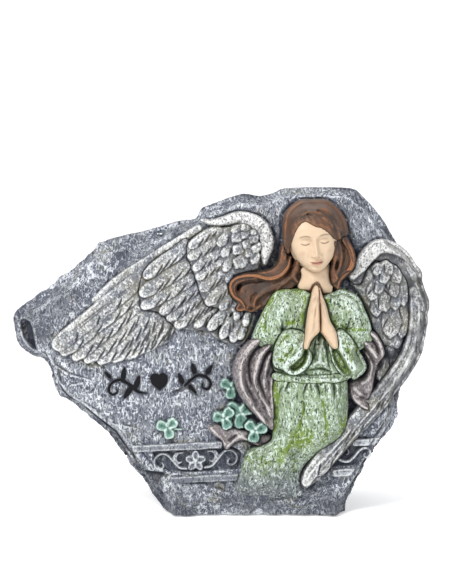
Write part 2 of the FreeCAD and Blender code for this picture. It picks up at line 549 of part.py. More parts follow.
nodes = [("rock_planter", stone), ("bumper_pads", Part.makeCompound(pads)), ("drain_plug", plug),
         ("engraving_inlay", inlay_solid)] + parts
box = FreeCAD.BoundBox()
for _, s in nodes:
    box.add(s.optimalBoundingBox(True, False))
move = V(-(box.XMin + box.XMax) / 2, -(box.YMin + box.YMax) / 2, -box.ZMin)
print("box", round(box.XLength, 3), round(box.YLength, 3), round(box.ZLength, 3), "move", move)
mass, moment = 0.0, V(0, 0, 0)
for old in os.listdir("parts"):
    if old.endswith(".step"):
        os.remove(os.path.join("parts", old))
for n, s in nodes:
    s = s.copy()
    s.translate(move)
    for q in s.Solids:
        mass += q.Volume
        moment += q.CenterOfMass * q.Volume
    print(n, "solids", len(s.Solids), "faces", len(s.Faces), "vol", round(s.Volume, 1), "valid", s.isValid())
    s.exportStep("parts/%s.step" % n)
print("centre of mass", moment * (1.0 / mass), "volume", round(mass, 0))
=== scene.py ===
"""Visual model of the cast-resin angel planter: every piece is a closed mesh carved from relief maps and solid fields,
painted with procedural node materials. Millimetres inside, metres in Blender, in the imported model's frame."""
import bpy
import math
import numpy as np
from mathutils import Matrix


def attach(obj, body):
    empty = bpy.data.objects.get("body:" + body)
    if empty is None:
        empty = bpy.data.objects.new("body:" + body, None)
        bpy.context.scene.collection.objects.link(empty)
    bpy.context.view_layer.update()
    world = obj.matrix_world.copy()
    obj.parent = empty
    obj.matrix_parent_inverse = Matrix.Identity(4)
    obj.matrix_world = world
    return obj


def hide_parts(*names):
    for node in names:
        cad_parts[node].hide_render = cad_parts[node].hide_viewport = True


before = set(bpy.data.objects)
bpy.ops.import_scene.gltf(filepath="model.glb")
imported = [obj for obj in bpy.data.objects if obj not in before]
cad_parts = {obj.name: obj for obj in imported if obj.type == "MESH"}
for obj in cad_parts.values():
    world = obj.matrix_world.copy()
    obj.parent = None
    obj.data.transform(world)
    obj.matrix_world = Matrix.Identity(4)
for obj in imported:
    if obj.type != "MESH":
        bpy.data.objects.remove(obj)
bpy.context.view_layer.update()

import openvdb
from mathutils import Vector, Matrix, Euler


# ============ A. relief maps: plain numpy on a 0.4 mm grid over the front plane (x right, z up, height d towards the viewer) ============
H = 0.4
X0, Z0 = -130.0, -2.0
NX, NZ = 651, 516
gx = X0 + H * np.arange(NX)
gz = Z0 + H * np.arange(NZ)
YF = -23.0            # the carved face lies at y = -23 mm; a point at height d is at y = -23 - d
NO = -99.0


def smooth_pts(pts, n=7, closed=False):
    """Catmull-Rom through the control points."""
    p = np.array(pts, float)
    if len(p) < 3:
        t = np.linspace(0, 1, n + 1)[:, None]
        return p[0] * (1 - t) + p[-1] * t
    if closed:
        a = np.vstack([p[-1], p, p[0], p[1]])
    else:
        a = np.vstack([2 * p[0] - p[1], p, 2 * p[-1] - p[-2]])
    out = []
    for i in range(1, len(a) - 2):
        p0, p1, p2, p3 = a[i - 1], a[i], a[i + 1], a[i + 2]
        for k in range(n):
            t = k / n
            out.append(0.5 * (2 * p1 + (p2 - p0) * t + (2 * p0 - 5 * p1 + 4 * p2 - p3) * t * t + (3 * p1 - p0 - 3 * p2 + p3) * t ** 3))
    if not closed:
        out.append(a[-2])
    return np.array(out)


def win(xs, zs, pad):
    i0 = max(0, int((min(xs) - pad - X0) / H)); i1 = min(NX, int((max(xs) + pad - X0) / H) + 2)
    k0 = max(0, int((min(zs) - pad - Z0) / H)); k1 = min(NZ, int((max(zs) + pad - Z0) / H) + 2)
    return (slice(i0, i1), slice(k0, k1)), gx[i0:i1][:, None], gz[k0:k1][None, :]


def sdf(pts, X, Z):
    """Signed distance to a closed outline, negative inside."""
    p = np.array(pts, float)
    best = np.full(np.broadcast(X, Z).shape, 1e9)
    inside = np.zeros(best.shape, bool)
    for a in range(len(p)):
        ax, az = p[a]; bx, bz = p[(a + 1) % len(p)]
        dx, dz = bx - ax, bz - az
        L2 = dx * dx + dz * dz + 1e-12
        u = np.clip(((X - ax) * dx + (Z - az) * dz) / L2, 0, 1)
        best = np.minimum(best, (X - ax - u * dx) ** 2 + (Z - az - u * dz) ** 2)
        cross = ((az > Z) != (bz > Z)) & (X < (bx - ax) * (Z - az) / (bz - az + 1e-12) + ax)
        inside ^= cross
    d = np.sqrt(best)
    return np.where(inside, -d, d)


def field(pts, wmax, n=7):
    """Along a curve: window, t from 0 to 1, signed side distance s, length."""
    P = smooth_pts(pts, n)
    sl, X, Z = win(P[:, 0], P[:, 1], wmax)
    shape = np.broadcast(X, Z).shape
    best = np.full(shape, 1e9); T = np.zeros(shape); S = np.ones(shape)
    seg = np.hypot(*(P[1:] - P[:-1]).T)
    arc = np.concatenate([[0], np.cumsum(seg)])
    for a in range(len(P) - 1):
        ax, az = P[a]; dx, dz = P[a + 1] - P[a]
        L2 = dx * dx + dz * dz + 1e-12
        u = np.clip(((X - ax) * dx + (Z - az) * dz) / L2, 0, 1)
        px = X - ax - u * dx; pz = Z - az - u * dz
        d2 = px * px + pz * pz
        m = d2 < best
        best = np.where(m, d2, best)
        T = np.where(m, arc[a] + u * seg[a], T)
        S = np.where(m, np.where(dx * pz - dz * px >= 0, 1.0, -1.0), S)
    return sl, X, Z, T / arc[-1], np.sqrt(best) * S, arc[-1]


def blur(a, sigma):
    """Gaussian blur by FFT, edges mirrored."""
    p = int(3 * sigma / H) + 2
    b = np.pad(a, p, mode="edge")
    fx = np.fft.fftfreq(b.shape[0])[:, None]; fz = np.fft.rfftfreq(b.shape[1])[None, :]
    g = np.exp(-2 * (math.pi * sigma / H) ** 2 * (fx * fx + fz * fz))
    return np.fft.irfft2(np.fft.rfft2(b) * g, s=b.shape)[p:-p, p:-p]


def grain(seed, sx, sz=None, ang=0.0):
    """Smooth random field with unit spread; sx, sz are its grain in mm."""
    sz = sz or sx
    r = np.random.RandomState(seed).standard_normal((NX, NZ))
    fx = np.fft.fftfreq(NX)[:, None] / H; fz = np.fft.rfftfreq(NZ)[None, :] / H
    c, s = math.cos(ang), math.sin(ang)
    u, v = fx * c + fz * s, -fx * s + fz * c
    g = np.exp(-2 * math.pi ** 2 * (sx * sx * u * u + sz * sz * v * v))
    f = np.fft.irfft2(np.fft.rfft2(r) * g, s=(NX, NZ))
    return f / f.std()


WOB, WOB2 = grain(41, 1.6), grain(42, 4.0)


class Layer:
    """One moulded piece: height, dark wash and dark paint with painted shade, dry brush and a colour mask."""
    def __init__(self, name):
        self.name = name
        self.D = np.full((NX, NZ), NO)
        self.ink_and_shade = np.zeros((NX, NZ)); self.hi = np.zeros((NX, NZ)); self.mix = np.zeros((NX, NZ))

    def base(self, pts, h, edge=3.0, low=0.0, power=0.5, smooth=4, soften=0.0):
        """A cushion over an outline: h in the middle, low at the rim."""
        P = smooth_pts(pts, smooth, True) if smooth else np.array(pts)
        sl, X, Z = win(P[:, 0], P[:, 1], 1.0)
        d = -sdf(P, X, Z)
        e = np.clip(d / edge, 0, 1)
        prof = low + (h - low) * (1 - (1 - e) ** 2) ** power
        if soften:
            m = (d > 0) * 1.0
            prof = blur(prof * m, soften) / np.maximum(blur(m, soften), 1e-3)
        self.D[sl] = np.where(d > 0, np.maximum(self.D[sl], prof), self.D[sl])
        return sl, d

    def ridge(self, pts, hw, amp, t_in=0.15, t_out=0.15, hi=0.0, ink_and_shade=0.0, mix=0.0, sharp=2.0):
        """Adds (or with a negative amp cuts) a soft fold along a curve."""
        wm = max(hw) if hasattr(hw, "__len__") else hw
        sl, X, Z, t, s, L = field(pts, wm * 2.6)
        w = np.interp(t, np.linspace(0, 1, len(hw)), hw) if hasattr(hw, "__len__") else hw
        fade = np.clip(t / max(t_in, 1e-3), 0, 1) * np.clip((1 - t) / max(t_out, 1e-3), 0, 1)
        fade = fade * fade * (3 - 2 * fade)
        g = np.exp(-(np.abs(s) / w) ** sharp) * fade
        m = self.D[sl] > NO + 1
        self.D[sl] = np.where(m, self.D[sl] + amp * g, self.D[sl])
        for arr, k in ((self.hi, hi), (self.ink_and_shade, ink_and_shade), (self.mix, mix)):
            if k > 0:
                arr[sl] = np.maximum(arr[sl], k * g)
            elif k < 0:
                arr[sl] = arr[sl] + k * g
        return self

    def feather(self, pts, w, h0, h1, prof=((0, .15, .5, .85, 1), (.55, .8, 1, .9, .62)), crown=0.7, tilt=0.0, barb=0.14, lam=1.25,
                shaft=0.22, roll=0.8, lift=0.2, ink_and_shade=0.9, slits=0, seed=0, side=0, hi=0.5, skew=0.75, slit_len=1.15):
        wm = w * max(prof[1])
        sl, X, Z, t, s, L = field(pts, wm + 1.6)
        hw = np.interp(t, prof[0], prof[1]) * w
        a = np.abs(s)
        inside = a < hw
        r = a / np.maximum(hw, 1e-3)
        e = np.clip((hw - a) / roll, 0, 1)
        h = h0 + (h1 - h0) * t + 0.6 * crown * (1 - r * r) + tilt * s / wm - 0.42 * (1 - e) ** 2
        ph = 2 * math.pi * (t * L * math.cos(skew) + a * math.sin(skew)) / lam
        wob = WOB[sl]
        h = h + barb * np.sin(ph + 1.6 * wob + 0.9 * np.sin(ph * 0.37 + seed)) * np.clip(r * 3, 0, 1) * np.clip(0.55 + 0.6 * WOB2[sl], 0, 1.3)
        h = h + shaft * np.exp(-(a / 0.42) ** 2) - 0.7 * shaft * np.exp(-((a - 0.85) / 0.4) ** 2)
        D = self.D[sl]
        top = np.where(D > NO + 1, D + lift * e - 0.1, NO)
        hn = np.maximum(h, top)
        self.D[sl] = np.where(inside, hn, D)
        # a dark line just outside the feather's edge, on what lies below: wash and painted shade
        line = min(1.0, 1.1 * ink_and_shade) * np.exp(-(np.clip(a - hw, 0, 9) / 0.55) ** 2) * (a >= hw) * (t > 0.12)
        self.ink_and_shade[sl] = np.where(inside, 0.0, np.maximum(self.ink_and_shade[sl], line * (D > NO + 1)))
        tipw = np.clip((t - 0.55) / 0.45, 0, 1)
        self.hi[sl] = np.where(inside, hi * (0.35 + 0.55 * np.exp(-((hw - a) / 0.9) ** 2) * tipw * np.clip(0.6 + 0.5 * wob, 0, 1)), self.hi[sl])
        if slits:
            rs = np.random.RandomState(seed + 77)
            P = smooth_pts(pts, 12)
            for k in range(slits):
                tt = 0.97 - (k + 0.35 + 0.3 * rs.rand()) * (0.80 / slits)
                i = int(tt * (len(P) - 1)); d = P[min(i + 1, len(P) - 1)] - P[max(i - 1, 0)]
                d = d / (np.hypot(*d) + 1e-9)
                sd = side if side else (1 if k % 2 else -1)
                nrm = np.array([-d[1], d[0]]) * sd
                q = np.interp(tt, prof[0], prof[1]) * w
                p1 = P[i] + nrm * q * 0.98
                p0 = P[i] - d * q * (1.0 + 0.7 * rs.rand()) * slit_len + nrm * q * 0.22
                mid = (p0 + p1) / 2 + nrm * q * 0.02 - d * q * 0.16
                self.cut([tuple(p0), tuple(mid), tuple(p1)], 0.50, 1.2, ink_and_shade=1.15, tw=(.3, .9, 1, .6))
        return self

    def cut(self, pts, hw, depth, ink_and_shade=0.8, taper=(0, .3, .75, 1), tw=(.15, 1, .9, .3)):
        sl, X, Z, t, s, L = field(pts, hw * 3 + 0.6, 4)
        k = np.interp(t, taper, tw)
        g = np.exp(-(s / (hw * np.maximum(k, .3))) ** 2) * k
        m = self.D[sl] > NO + 1
        self.D[sl] = np.where(m, self.D[sl] - depth * g, self.D[sl])
        self.ink_and_shade[sl] = np.maximum(self.ink_and_shade[sl], ink_and_shade * g * m)
        self.hi[sl] = self.hi[sl] * (1 - 0.8 * g)
        return self

    def lock(self, pts, w, h0, h1, strands=5, amp=0.35, crown=1.6, roll=0.8, lift=0.5, hi=0.6, ink_and_shade=0.7, seed=0, wave=0.0, arch=0.0):
        """A rope of hair (or any grooved tapering roll) along a curve; w lists half widths."""
        w = np.array(w, float)
        sl, X, Z, t, s, L = field(pts, w.max() + 1.4, 9)
        hw = np.interp(t, np.linspace(0, 1, len(w)), w)
        a = np.abs(s); r = a / np.maximum(hw, 1e-3)
        inside = a < hw
        e = np.clip((hw - a) / roll, 0, 1)
        ph = math.pi * strands * (s / np.maximum(hw, 1e-3)) + wave * np.sin(2 * math.pi * t * 1.7 + seed) + seed
        h = h0 + (h1 - h0) * t + arch * np.sin(math.pi * t) + crown * np.sqrt(np.clip(1 - r * r, 0, 1)) + amp * np.sin(ph) - 0.5 * (1 - e) ** 2
        D = self.D[sl]
        hn = np.maximum(h, np.where(D > NO + 1, D + lift * e - 0.15, NO))
        self.D[sl] = np.where(inside, hn, D)
        # a dark line just outside the lock's edge, on what lies below: wash and painted shade
        line = ink_and_shade * np.exp(-(np.clip(a - hw, 0, 9) / 0.45) ** 2) * (a >= hw)
        self.ink_and_shade[sl] = np.where(inside, 0.62 * np.clip(-np.sin(ph), 0, 1) ** 2 * (strands > 0), np.maximum(self.ink_and_shade[sl], line * (D > NO + 1)))
        self.hi[sl] = np.where(inside, hi * (0.75 + 0.25 * np.sin(ph)) * np.clip(1 - r * r, 0, 1), self.hi[sl])
        return self

    def clip_to(self, pts, smooth=4, grow=0.0):
        P = smooth_pts(pts, smooth, True) if smooth else np.array(pts)
        d = sdf(P, gx[:, None], gz[None, :])
        self.D = np.where(d < grow, self.D, NO)
        return self

# ---- outlines in the front plane (x, z), mm ----
ROCK = [(38.1, 199.4), (58.5, 200), (78, 199.4), (84.2, 195.2), (93, 186.3), (101.9, 174), (107.2, 163.7), (111.6, 149.5), (113.7, 131.8), (113.7, 114.1), (112.5, 96.4), (109.8, 82.3), (107.4, 71.6), (107.9, 62.4), (104.9, 55.7), (101, 49.5), (96, 42.4), (93, 36.6), (88.2, 30.9), (86.1, 26.5), (82.7, 19.4), (80.1, 14.1), (75.3, 9.3), (72.7, 1.2), (51.4, 1.2), (23.1, 1.2), (-3.5, 1.2), (-14.1, 1.2), (-22.9, 1.2), (-31.8, 2.6), (-37.1, 5.8), (-40.6, 10), (-45, 16.4), (-48.2, 22.1), (-52.1, 27.4), (-56.9, 31.3), (-60.1, 37.1), (-64, 42.4), (-68.1, 48.1), (-74.3, 53.9), (-83.1, 61), (-91.6, 67.8), (-97.6, 70.8), (-100.8, 74.8), (-102.9, 79.6), (-103.8, 84), (-105.2, 90.2), (-108.2, 95), (-116.7, 98.9), (-121.7, 102.1), (-125.2, 107.8), (-127, 117.7), (-126.3, 123.3), (-122.4, 127.8), (-109.7, 136.3), (-97.3, 146), (-84.9, 156.6), (-73.9, 166.3), (-61.9, 170.4), (-47.7, 173.4), (-26.5, 179.6), (-15.8, 180.9), (-12.3, 187), (-4.3, 190.6), (12.5, 196.1), (23.1, 194.5), (32.8, 197.3)]
FACE = [(39, 195.2), (58.5, 196.1), (76.2, 195.5), (82.4, 190.6), (90.4, 182.8), (98.3, 171.1), (101.9, 161.9), (106.3, 147.8), (108.1, 130.1), (108.1, 114.1), (106.3, 96.4), (104.2, 82.3), (101.9, 69.9), (101.9, 61), (98.3, 53.9), (93.9, 46.9), (89.5, 38.9), (85.9, 31.8), (82.4, 25.6), (78.9, 18.5), (74.4, 14.1), (69.1, 10.6), (58.5, 8.3), (40.8, 6.5), (23.1, 7), (8.9, 7.6), (-5.2, 6.5), (-15.8, 5.8), (-26.5, 7), (-32.7, 10.6), (-35.3, 15), (-37.1, 20.3), (-44.2, 25.6), (-53, 35.4), (-55.7, 40.7), (-58.3, 46.9), (-65.4, 54.5), (-74.3, 59.3), (-83.1, 66.3), (-95.5, 76.1), (-100.8, 82.3), (-104.7, 89.3), (-107, 96.4), (-107.9, 101.7), (-104.3, 109.2), (-92, 121.2), (-77.8, 132.7), (-65.4, 142.1), (-51.2, 152.5), (-37.1, 162.6), (-22.9, 172), (-12.3, 179.6), (-1.7, 185.8), (12.5, 191.1), (23.1, 190.2), (31.9, 193.1)]
SKIRT = [(31.1, 84), (54.1, 82.8), (76.2, 83.7), (77.6, 71.6), (77.3, 61), (74.8, 50.8), (67.3, 43.7), (55.8, 35.9), (49.1, 27.4), (48.2, 18.5), (50, 14.1), (47.9, 10.6), (33.7, 9.7), (21.3, 10.8), (9.3, 13.2), (10.7, 23.9), (16, 38.9), (24, 42.4), (30.5, 46), (31.2, 53.9), (30.5, 64.6), (29.3, 75.2)]
BODICE = [(47, 140), (33.7, 138.6), (27.5, 130.1), (22.2, 119.4), (18.1, 107.8), (23.1, 104.4), (31.9, 100), (32.8, 89), (54.1, 87.9), (76.2, 89), (80.6, 98.2), (87.2, 103.5), (92.1, 107.8), (91.2, 117.7), (87.7, 126.5), (83.3, 135), (74.1, 140), (67.3, 137.5), (58, 135.4)]
SLEEVE_L = [(39, 115.5), (49.6, 113.8), (50.7, 107), (54.6, 100), (52.5, 93.6), (46.1, 88.6), (40.8, 88.6), (36.4, 91.5), (31.6, 92.9), (31.2, 100), (33.4, 108.8)]
SLEEVE_R = [(70, 115.5), (75.3, 113.8), (81.2, 106), (86.5, 97.8), (88.6, 91.5), (85, 86.5), (78.9, 84), (71.8, 88.6), (67.3, 95.5), (65.6, 101.7), (64.5, 106)]
BELT = [(32.8, 89), (54.1, 87.8), (76.7, 88.6), (76.7, 84), (54.1, 82.8), (32.3, 84)]
SHAWL_L = [(40.8, 118), (28.4, 112.7), (18.7, 107.8), (11.6, 100.9), (8.2, 91.1), (8.9, 80.9), (13.4, 71.6), (21.3, 61.9), (30.2, 52.5), (31.4, 59.3), (29.3, 66.3), (24, 74.8), (21, 82.3), (24, 85.8), (30.2, 90.2), (31.1, 100), (33.4, 109.2)]
SHAWL_R = [(74.4, 115), (84.2, 115.5), (92.5, 112.7), (98.5, 100.3), (94.3, 92.9), (91.8, 82.3), (88.9, 65.1), (78.9, 70.8), (76.7, 82.3), (85.4, 85.1), (88.9, 92), (86.5, 98.6), (81.5, 106.7)]
SHAWL_E = [(-8.8, 54.3), (-1.3, 55.7), (10.7, 52.5), (22.2, 50.4), (31.1, 49), (31.1, 45.5), (23.1, 42.3), (14.2, 45.8), (7.5, 43.7), (2.7, 39.1), (-0.3, 46), (-4.9, 48.3)]
NECK = [(49.6, 151.3), (48.8, 146), (47, 140), (58, 135.4), (67.3, 137.5), (65.9, 146), (65.6, 153.1)]
HAIR_CAP = [(40.8, 161), (38.1, 161.9), (36.2, 169.9), (36.6, 176.1), (40.8, 184.9), (49.3, 191.7), (57.6, 193.4), (66.5, 189.9), (72.7, 181.4), (75.5, 172.5), (70, 171.5), (67.3, 174.3), (59.4, 177.8), (51.4, 180), (47.9, 177), (42.9, 172.5), (41.5, 165.5)]
HAND_L = [(58, 144.2), (55.7, 140.3), (53.9, 131.8), (52.5, 123), (51.4, 114.1), (50.7, 107.8), (55.3, 107.8), (57.8, 114.1)]
HAND_R = [(58, 144.2), (60.6, 140.3), (62.4, 131.8), (63.5, 123), (67, 115.5), (70.2, 107.8), (64.5, 106.7), (57.8, 114.1)]
BACKO = [(-94, 107), (-83, 121), (-62, 142), (-44, 153), (-23, 163), (5.4, 172), (41, 174), (76, 170), (92, 153), (101, 132), (103, 107), (98, 72), (89, 47), (80, 29),
         (71, 15), (67, 1.2), (-21, 1.2), (-30, 8), (-41, 18), (-51, 36), (-65, 54), (-83, 72), (-92, 86)]
POCKET = [(-60, 250), (-60, 88), (-53, 70), (-41, 47), (-30, 30), (-19, 14), (59, 14), (69, 28), (80, 47), (87, 69), (91, 94), (92, 135), (90, 250)]

layers = {}


def layer(name):
    layers[name] = Layer(name)
    return layers[name]


GX, GZ = gx[:, None] + 0 * gz[None, :], 0 * gx[:, None] + gz[None, :]

# ---- stone face ----
L = layer("rock")
sF, sR = sdf(smooth_pts(FACE, 3, True), GX, GZ), sdf(smooth_pts(ROCK, 3, True), GX, GZ)
big, mid, fine = grain(1, 9), grain(2, 3.2), grain(3, 1.1)
out_r = np.clip((GX - 76) / 6, 0, 1) * np.clip((GZ - 18) / 5, 0, 1) * np.clip((58 - GZ) / 6, 0, 1)
sF = sF * (1 - out_r) + (sR + 1.3) * out_r
u = np.clip(sF / np.maximum(sF - sR, 0.3), 0, 1)
u = np.where(sF < 0, 0, u)
band_w = np.clip((sF - sR), 0.5, 40)
thin = np.clip((GX + 72) / 9, 0, 1) * np.clip((104 - GX) / 9, 0, 1) * np.clip((GZ - 118) / 20, 0, 1)
D = -np.where(u < 0.72, 6 * u / 0.72, 6 + 8 * (1 - .68 * thin) * (u - 0.72) / 0.28)
# broken, facetted bevel
facet = 1.1 * big + 0.8 * mid + 0.25 * fine
D = D + np.clip(sF / 3, 0, 1) * np.clip(facet, -2.4, 2.0) * 0.9
# chipped lip of the face
lip = np.exp(-((sF + 1.2 + 0.8 * mid) / 1.5) ** 2)
D = D - 0.8 * lip * np.clip(0.5 + 0.6 * big, 0, 1.4)
D = D + np.where(sF < 0, 0.34 * big + 0.30 * mid + 0.14 * fine, 0.2 * mid + 0.16 * fine)
D = np.where(thin > .4, np.maximum(D, -8.2), D)
L.D = np.where(sR < 0.6, D, NO)
low_face = GZ < 22
# strata along the lower left edge and the right edge: dark beds that follow the outline
edge_dir = sR + 0.35 * mid
beds = np.sin(edge_dir * 2.6 + 0.6 * big)
left_low = np.clip((-GX - 8) / 10, 0, 1) * np.clip((100 - GZ) / 12, 0, 1) + np.clip((GX - 84) / 6, 0, 1) * np.clip((75 - GZ) / 10, 0, 1)
zone = np.clip((sR + 6.5) / 2, 0, 1) * np.clip(left_low, 0, 1)
L.D = np.where(L.D > NO + 1, L.D - zone * (0.8 + 0.9 * beds - .5 * mid), L.D)
L.ink_and_shade = np.maximum(L.ink_and_shade, zone * np.clip(-beds, 0, 1) * 0.6)
# hollow end of the roll at the far left
NOTCH = [(-125.6, 119.1), (-121.3, 120.1), (-118.1, 117.7), (-116.4, 112.4), (-115.3, 106.2), (-114.6, 100), (-118.5, 101.7), (-122.4, 106), (-125.2, 111.6)]
sl, X, Z = win([p[0] for p in NOTCH], [p[1] for p in NOTCH], 3)
dn = sdf(smooth_pts(NOTCH, 4, True), X, Z)
L.D[sl] = np.where(L.D[sl] > NO + 1, L.D[sl] - 7.5 * np.clip(-dn / 1.6, 0, 1) ** 0.7 * (1 + 0.12 * mid[sl]), L.D[sl])
# painted shade inside the hollow end, with a pale dry-brushed rim round it
L.ink_and_shade[sl] = np.maximum(L.ink_and_shade[sl], 0.95 * np.clip(-dn / 1.0, 0, 1))
L.hi[sl] = np.maximum(L.hi[sl], 0.8 * np.exp(-((dn - 0.7) / 0.6) ** 2))
# hollows of the top left bevel
for c, r, a in (([(-101.7, 139.8)], 6, 1.6), ([(-77.8, 158.7)], 8, 2.0), ([(-61.9, 159.8)], 7, 1.6), ([(-92, 131.8)], 7, 1.2), ([(-83.1, 139.8)], 5, 1.3), ([(-110.5, 123)], 6, 1.2), ([(-37.1, 171.7)], 6, 1.4), ([(1.9, 189.4)], 7, 1.4)):
    d2 = (GX - c[0][0]) ** 2 + ((GZ - c[0][1]) * 1.5) ** 2
    L.D = np.where(L.D > NO + 1, L.D - a * np.exp(-d2 / r ** 2), L.D)
# dark patches: painted shadow on the top bevel and along the top edge; the faint ones low on the face only darken the
# tone
for c, r, a in (([(-77.8, 159.8)], 7, .55), ([(-66.3, 155.7)], 6, .6), ([(-55.7, 161.9)], 8, .5), ([(-92, 147.8)], 6, .4), ([(-115, 125.6)], 7, .35), ([(-98.1, 123)], 9, .3), ([(-37.1, 170.8)], 8, .35), ([(-12.3, 177.8)], 7, .4), ([(28.4, 192)], 7, .35), ([(86.8, 179.6)], 9, .45), ([(79.7, 184.9)], 9, .35), ([(93.9, 160.1)], 10, .4),
                ([(-62.6, 161.4)], 9, .62), ([(-46.8, 166.3)], 9, .66), ([(-30, 171.5)], 9, .66), ([(-14.1, 178.2)], 8, .55), ([(-1.7, 184)], 7, .45), ([(42.6, 186.7)], 8, .4), ([(33.7, 165.5)], 9, .6), ([(83.3, 161.9)], 8, .5), ([(-53, 82.3)], 12, .15), ([(-12.3, 107)], 9, .3), ([(-83.1, 84)], 8, .2), ([(-53, 55.7)], 10, .25), ([(-8.8, 50.4)], 9, .3)):
    g = np.exp(-((GX - c[0][0]) ** 2 + ((GZ - c[0][1]) * 1.3) ** 2) / r ** 2) * np.clip(.75 + .5 * mid, 0, 1.3)
    L.ink_and_shade = np.maximum(L.ink_and_shade, a * g)
L.ridge([(-66.3, 147.8), (-72.5, 153.1), (-77.8, 154.8), (-83.1, 152.2), (-79.6, 147.8), (-68.9, 145.1)], 1.6, 1.0, hi=0.5)
L.ridge([(-120.3, 123), (-107.9, 130.1), (-96.4, 138), (-83.1, 145.1), (-74.3, 144.2)], 1.8, 0.9, hi=0.4)
L.ridge([(-92, 147.8), (-77.8, 158), (-60.1, 163.7), (-42.4, 168.1), (-22.9, 174.7)], 1.3, 0.8, hi=0.45)
# cracks and broken steps of the face
for c, w, d in (([(-107.9, 96.4), (-95.5, 87.9), (-83.1, 84), (-76.9, 81.4)], 0.55, 1.0), ([(-84.9, 82.3), (-93.7, 80.1), (-95.1, 78.4), (-96.4, 76.1)], 0.5, 0.8), ([(-76.9, 81.4), (-79.6, 76.1), (-83.1, 74.8), (-86.6, 76.1)], 0.5, 0.7),
                ([(-65.4, 58.4), (-60.1, 55.4), (-53, 53.6), (-49.5, 50.4)], 0.7, 1.1), ([(-75.1, 61.9), (-68.9, 57.1), (-61.9, 55.7)], 0.6, 0.8), ([(-83.1, 74.3), (-84.9, 69), (-77.8, 64.6), (-75.1, 59.6)], 0.6, 0.8),
                ([(-55.7, 46.9), (-47.7, 42.4), (-45.6, 36.2), (-40.6, 29.2)], 0.6, 0.9), ([(-37.1, 19.4), (-30, 25.6), (-14.1, 22.1)], 0.5, 0.7), ([(-12.3, 15.9), (-1.7, 11.5), (5.4, 10)], 1.0, 1.6),
                ([(-7.9, 16.8), (0.1, 15), (7.2, 12.4)], 0.9, 1.3), ([(-19.4, 9.7), (-8.8, 7.9), (1.9, 5.8)], 0.8, 1.0), ([(-30, 14.1), (-21.2, 12.9), (-14.1, 13.9)], 0.7, 0.9),
                ([(72.7, 10.6), (81.5, 18.5), (87.7, 27.4)], 0.8, 1.0), ([(85, 40.7), (93.9, 46), (99.2, 53.9)], 0.5, 0.6), ([(42.6, 6.2), (56.7, 10.6), (67.3, 12.9)], 0.8, 0.8),
                ([(24, 7), (33.7, 9.3), (42.6, 8.3)], 0.7, 0.7), ([(76.2, 15), (85.9, 22.1), (89.5, 31.8)], 0.6, 0.8)):
    L.cut(c, w, d, ink_and_shade=0.7)
    L.ridge([(x + 0.5, z - 1.0) for x, z in c], 0.7, 0.45, hi=0.6)
# frieze bed, a little sunk, with the broken slab end at its left
FR1 = [(-44.2, 40.1), (-30, 40.8), (-5.2, 42.4), (5.4, 42.4), (10.7, 39.8), (12.8, 37.1), (12.1, 31.8), (10.4, 27), (-5.2, 26), (-22.9, 25.3), (-33.5, 26), (-40.6, 29.2)]
FR2 = [(79.7, 46), (97.4, 48.1), (93.9, 42.4), (90.4, 37.1), (87.2, 31.8), (83.3, 30.1), (67.3, 28.6), (74.4, 36.6)]
for fr in (FR1, FR2):
    sl, X, Z = win([p[0] for p in fr], [p[1] for p in fr], 2)
    dn = -sdf(fr, X, Z)
    k = np.clip(dn / 0.9, 0, 1)
    L.D[sl] = np.where(L.D[sl] > NO + 1, L.D[sl] * (1 - k) + k * (-1.5 + 0.12 * mid[sl]), L.D[sl])
    L.ink_and_shade[sl] = np.maximum(L.ink_and_shade[sl], 0.62 * k)
    L.mix[sl] = np.maximum(L.mix[sl], k)
L.cut([(-53.4, 44.2), (-47.7, 36.2), (-39.7, 27)], 0.6, 1.0, ink_and_shade=0.9)
L.cut([(-52.3, 26.3), (-44.2, 24.6), (-33.5, 23.9)], 1.3, 2.2, ink_and_shade=1.1, tw=(.7, 1, 1, .5))
L.cut([(-49.5, 21), (-42.4, 19.3), (-37.8, 18.2)], 0.8, 1.2, ink_and_shade=.9, tw=(.7, 1, 1, .5))
LEDGE_L = [(-109.3, 100), (-106.5, 92.9), (-104, 84), (-99.9, 77.3), (-93.7, 70.8), (-83.1, 63.5), (-73.9, 56.4), (-66.1, 50.4), (-61.2, 43.7), (-57.3, 38), (-53, 31.8)]
L.cut(LEDGE_L, 0.95, 2.6, ink_and_shade=1.2, tw=(.6, 1, 1, .8))
L.ridge([(x + 1.5, z + 1.0) for x, z in LEDGE_L], 0.9, 0.9, hi=1.1)
L.cut([(-111.4, 92.9), (-107, 84), (-102.6, 76.1), (-93.7, 67.2), (-81.3, 58.9), (-71.1, 50.4), (-64.7, 41.6)], 0.65, 1.5, ink_and_shade=1.1, tw=(.4, 1, .9, .6))
L.cut([(110.2, 107), (108.1, 91.1), (104.5, 78.7), (104.9, 66.3)], 0.5, 0.8, ink_and_shade=0.7)
L.cut([(72.7, 193.8), (83.3, 186.7), (92.1, 176.1), (99.2, 164.6)], 0.6, 0.6, ink_and_shade=0.4)
BL = [(-53, 26.5), (-44.2, 26.5), (-34.4, 26), (-37.1, 21.2), (-39.2, 15.9), (-34.4, 11.5), (-36.2, 5.8), (-40.6, 10), (-45, 16.4), (-48.2, 22.1)]
sl, X, Z = win([p[0] for p in BL], [p[1] for p in BL], 2)
dn = -sdf(BL, X, Z)
k = np.clip(dn / 1.4, 0, 1)
L.D[sl] = np.where(L.D[sl] > NO + 1, L.D[sl] * (1 - k) + k * np.minimum(L.D[sl], -4.5 - 2.0 * np.clip((-36 - X) / 10, 0, 1) + 0.5 * mid[sl]), L.D[sl])
# the sunk block below the ledge is painted dark: painted shade in the recess
L.ink_and_shade[sl] = np.maximum(L.ink_and_shade[sl], 0.66 * k)
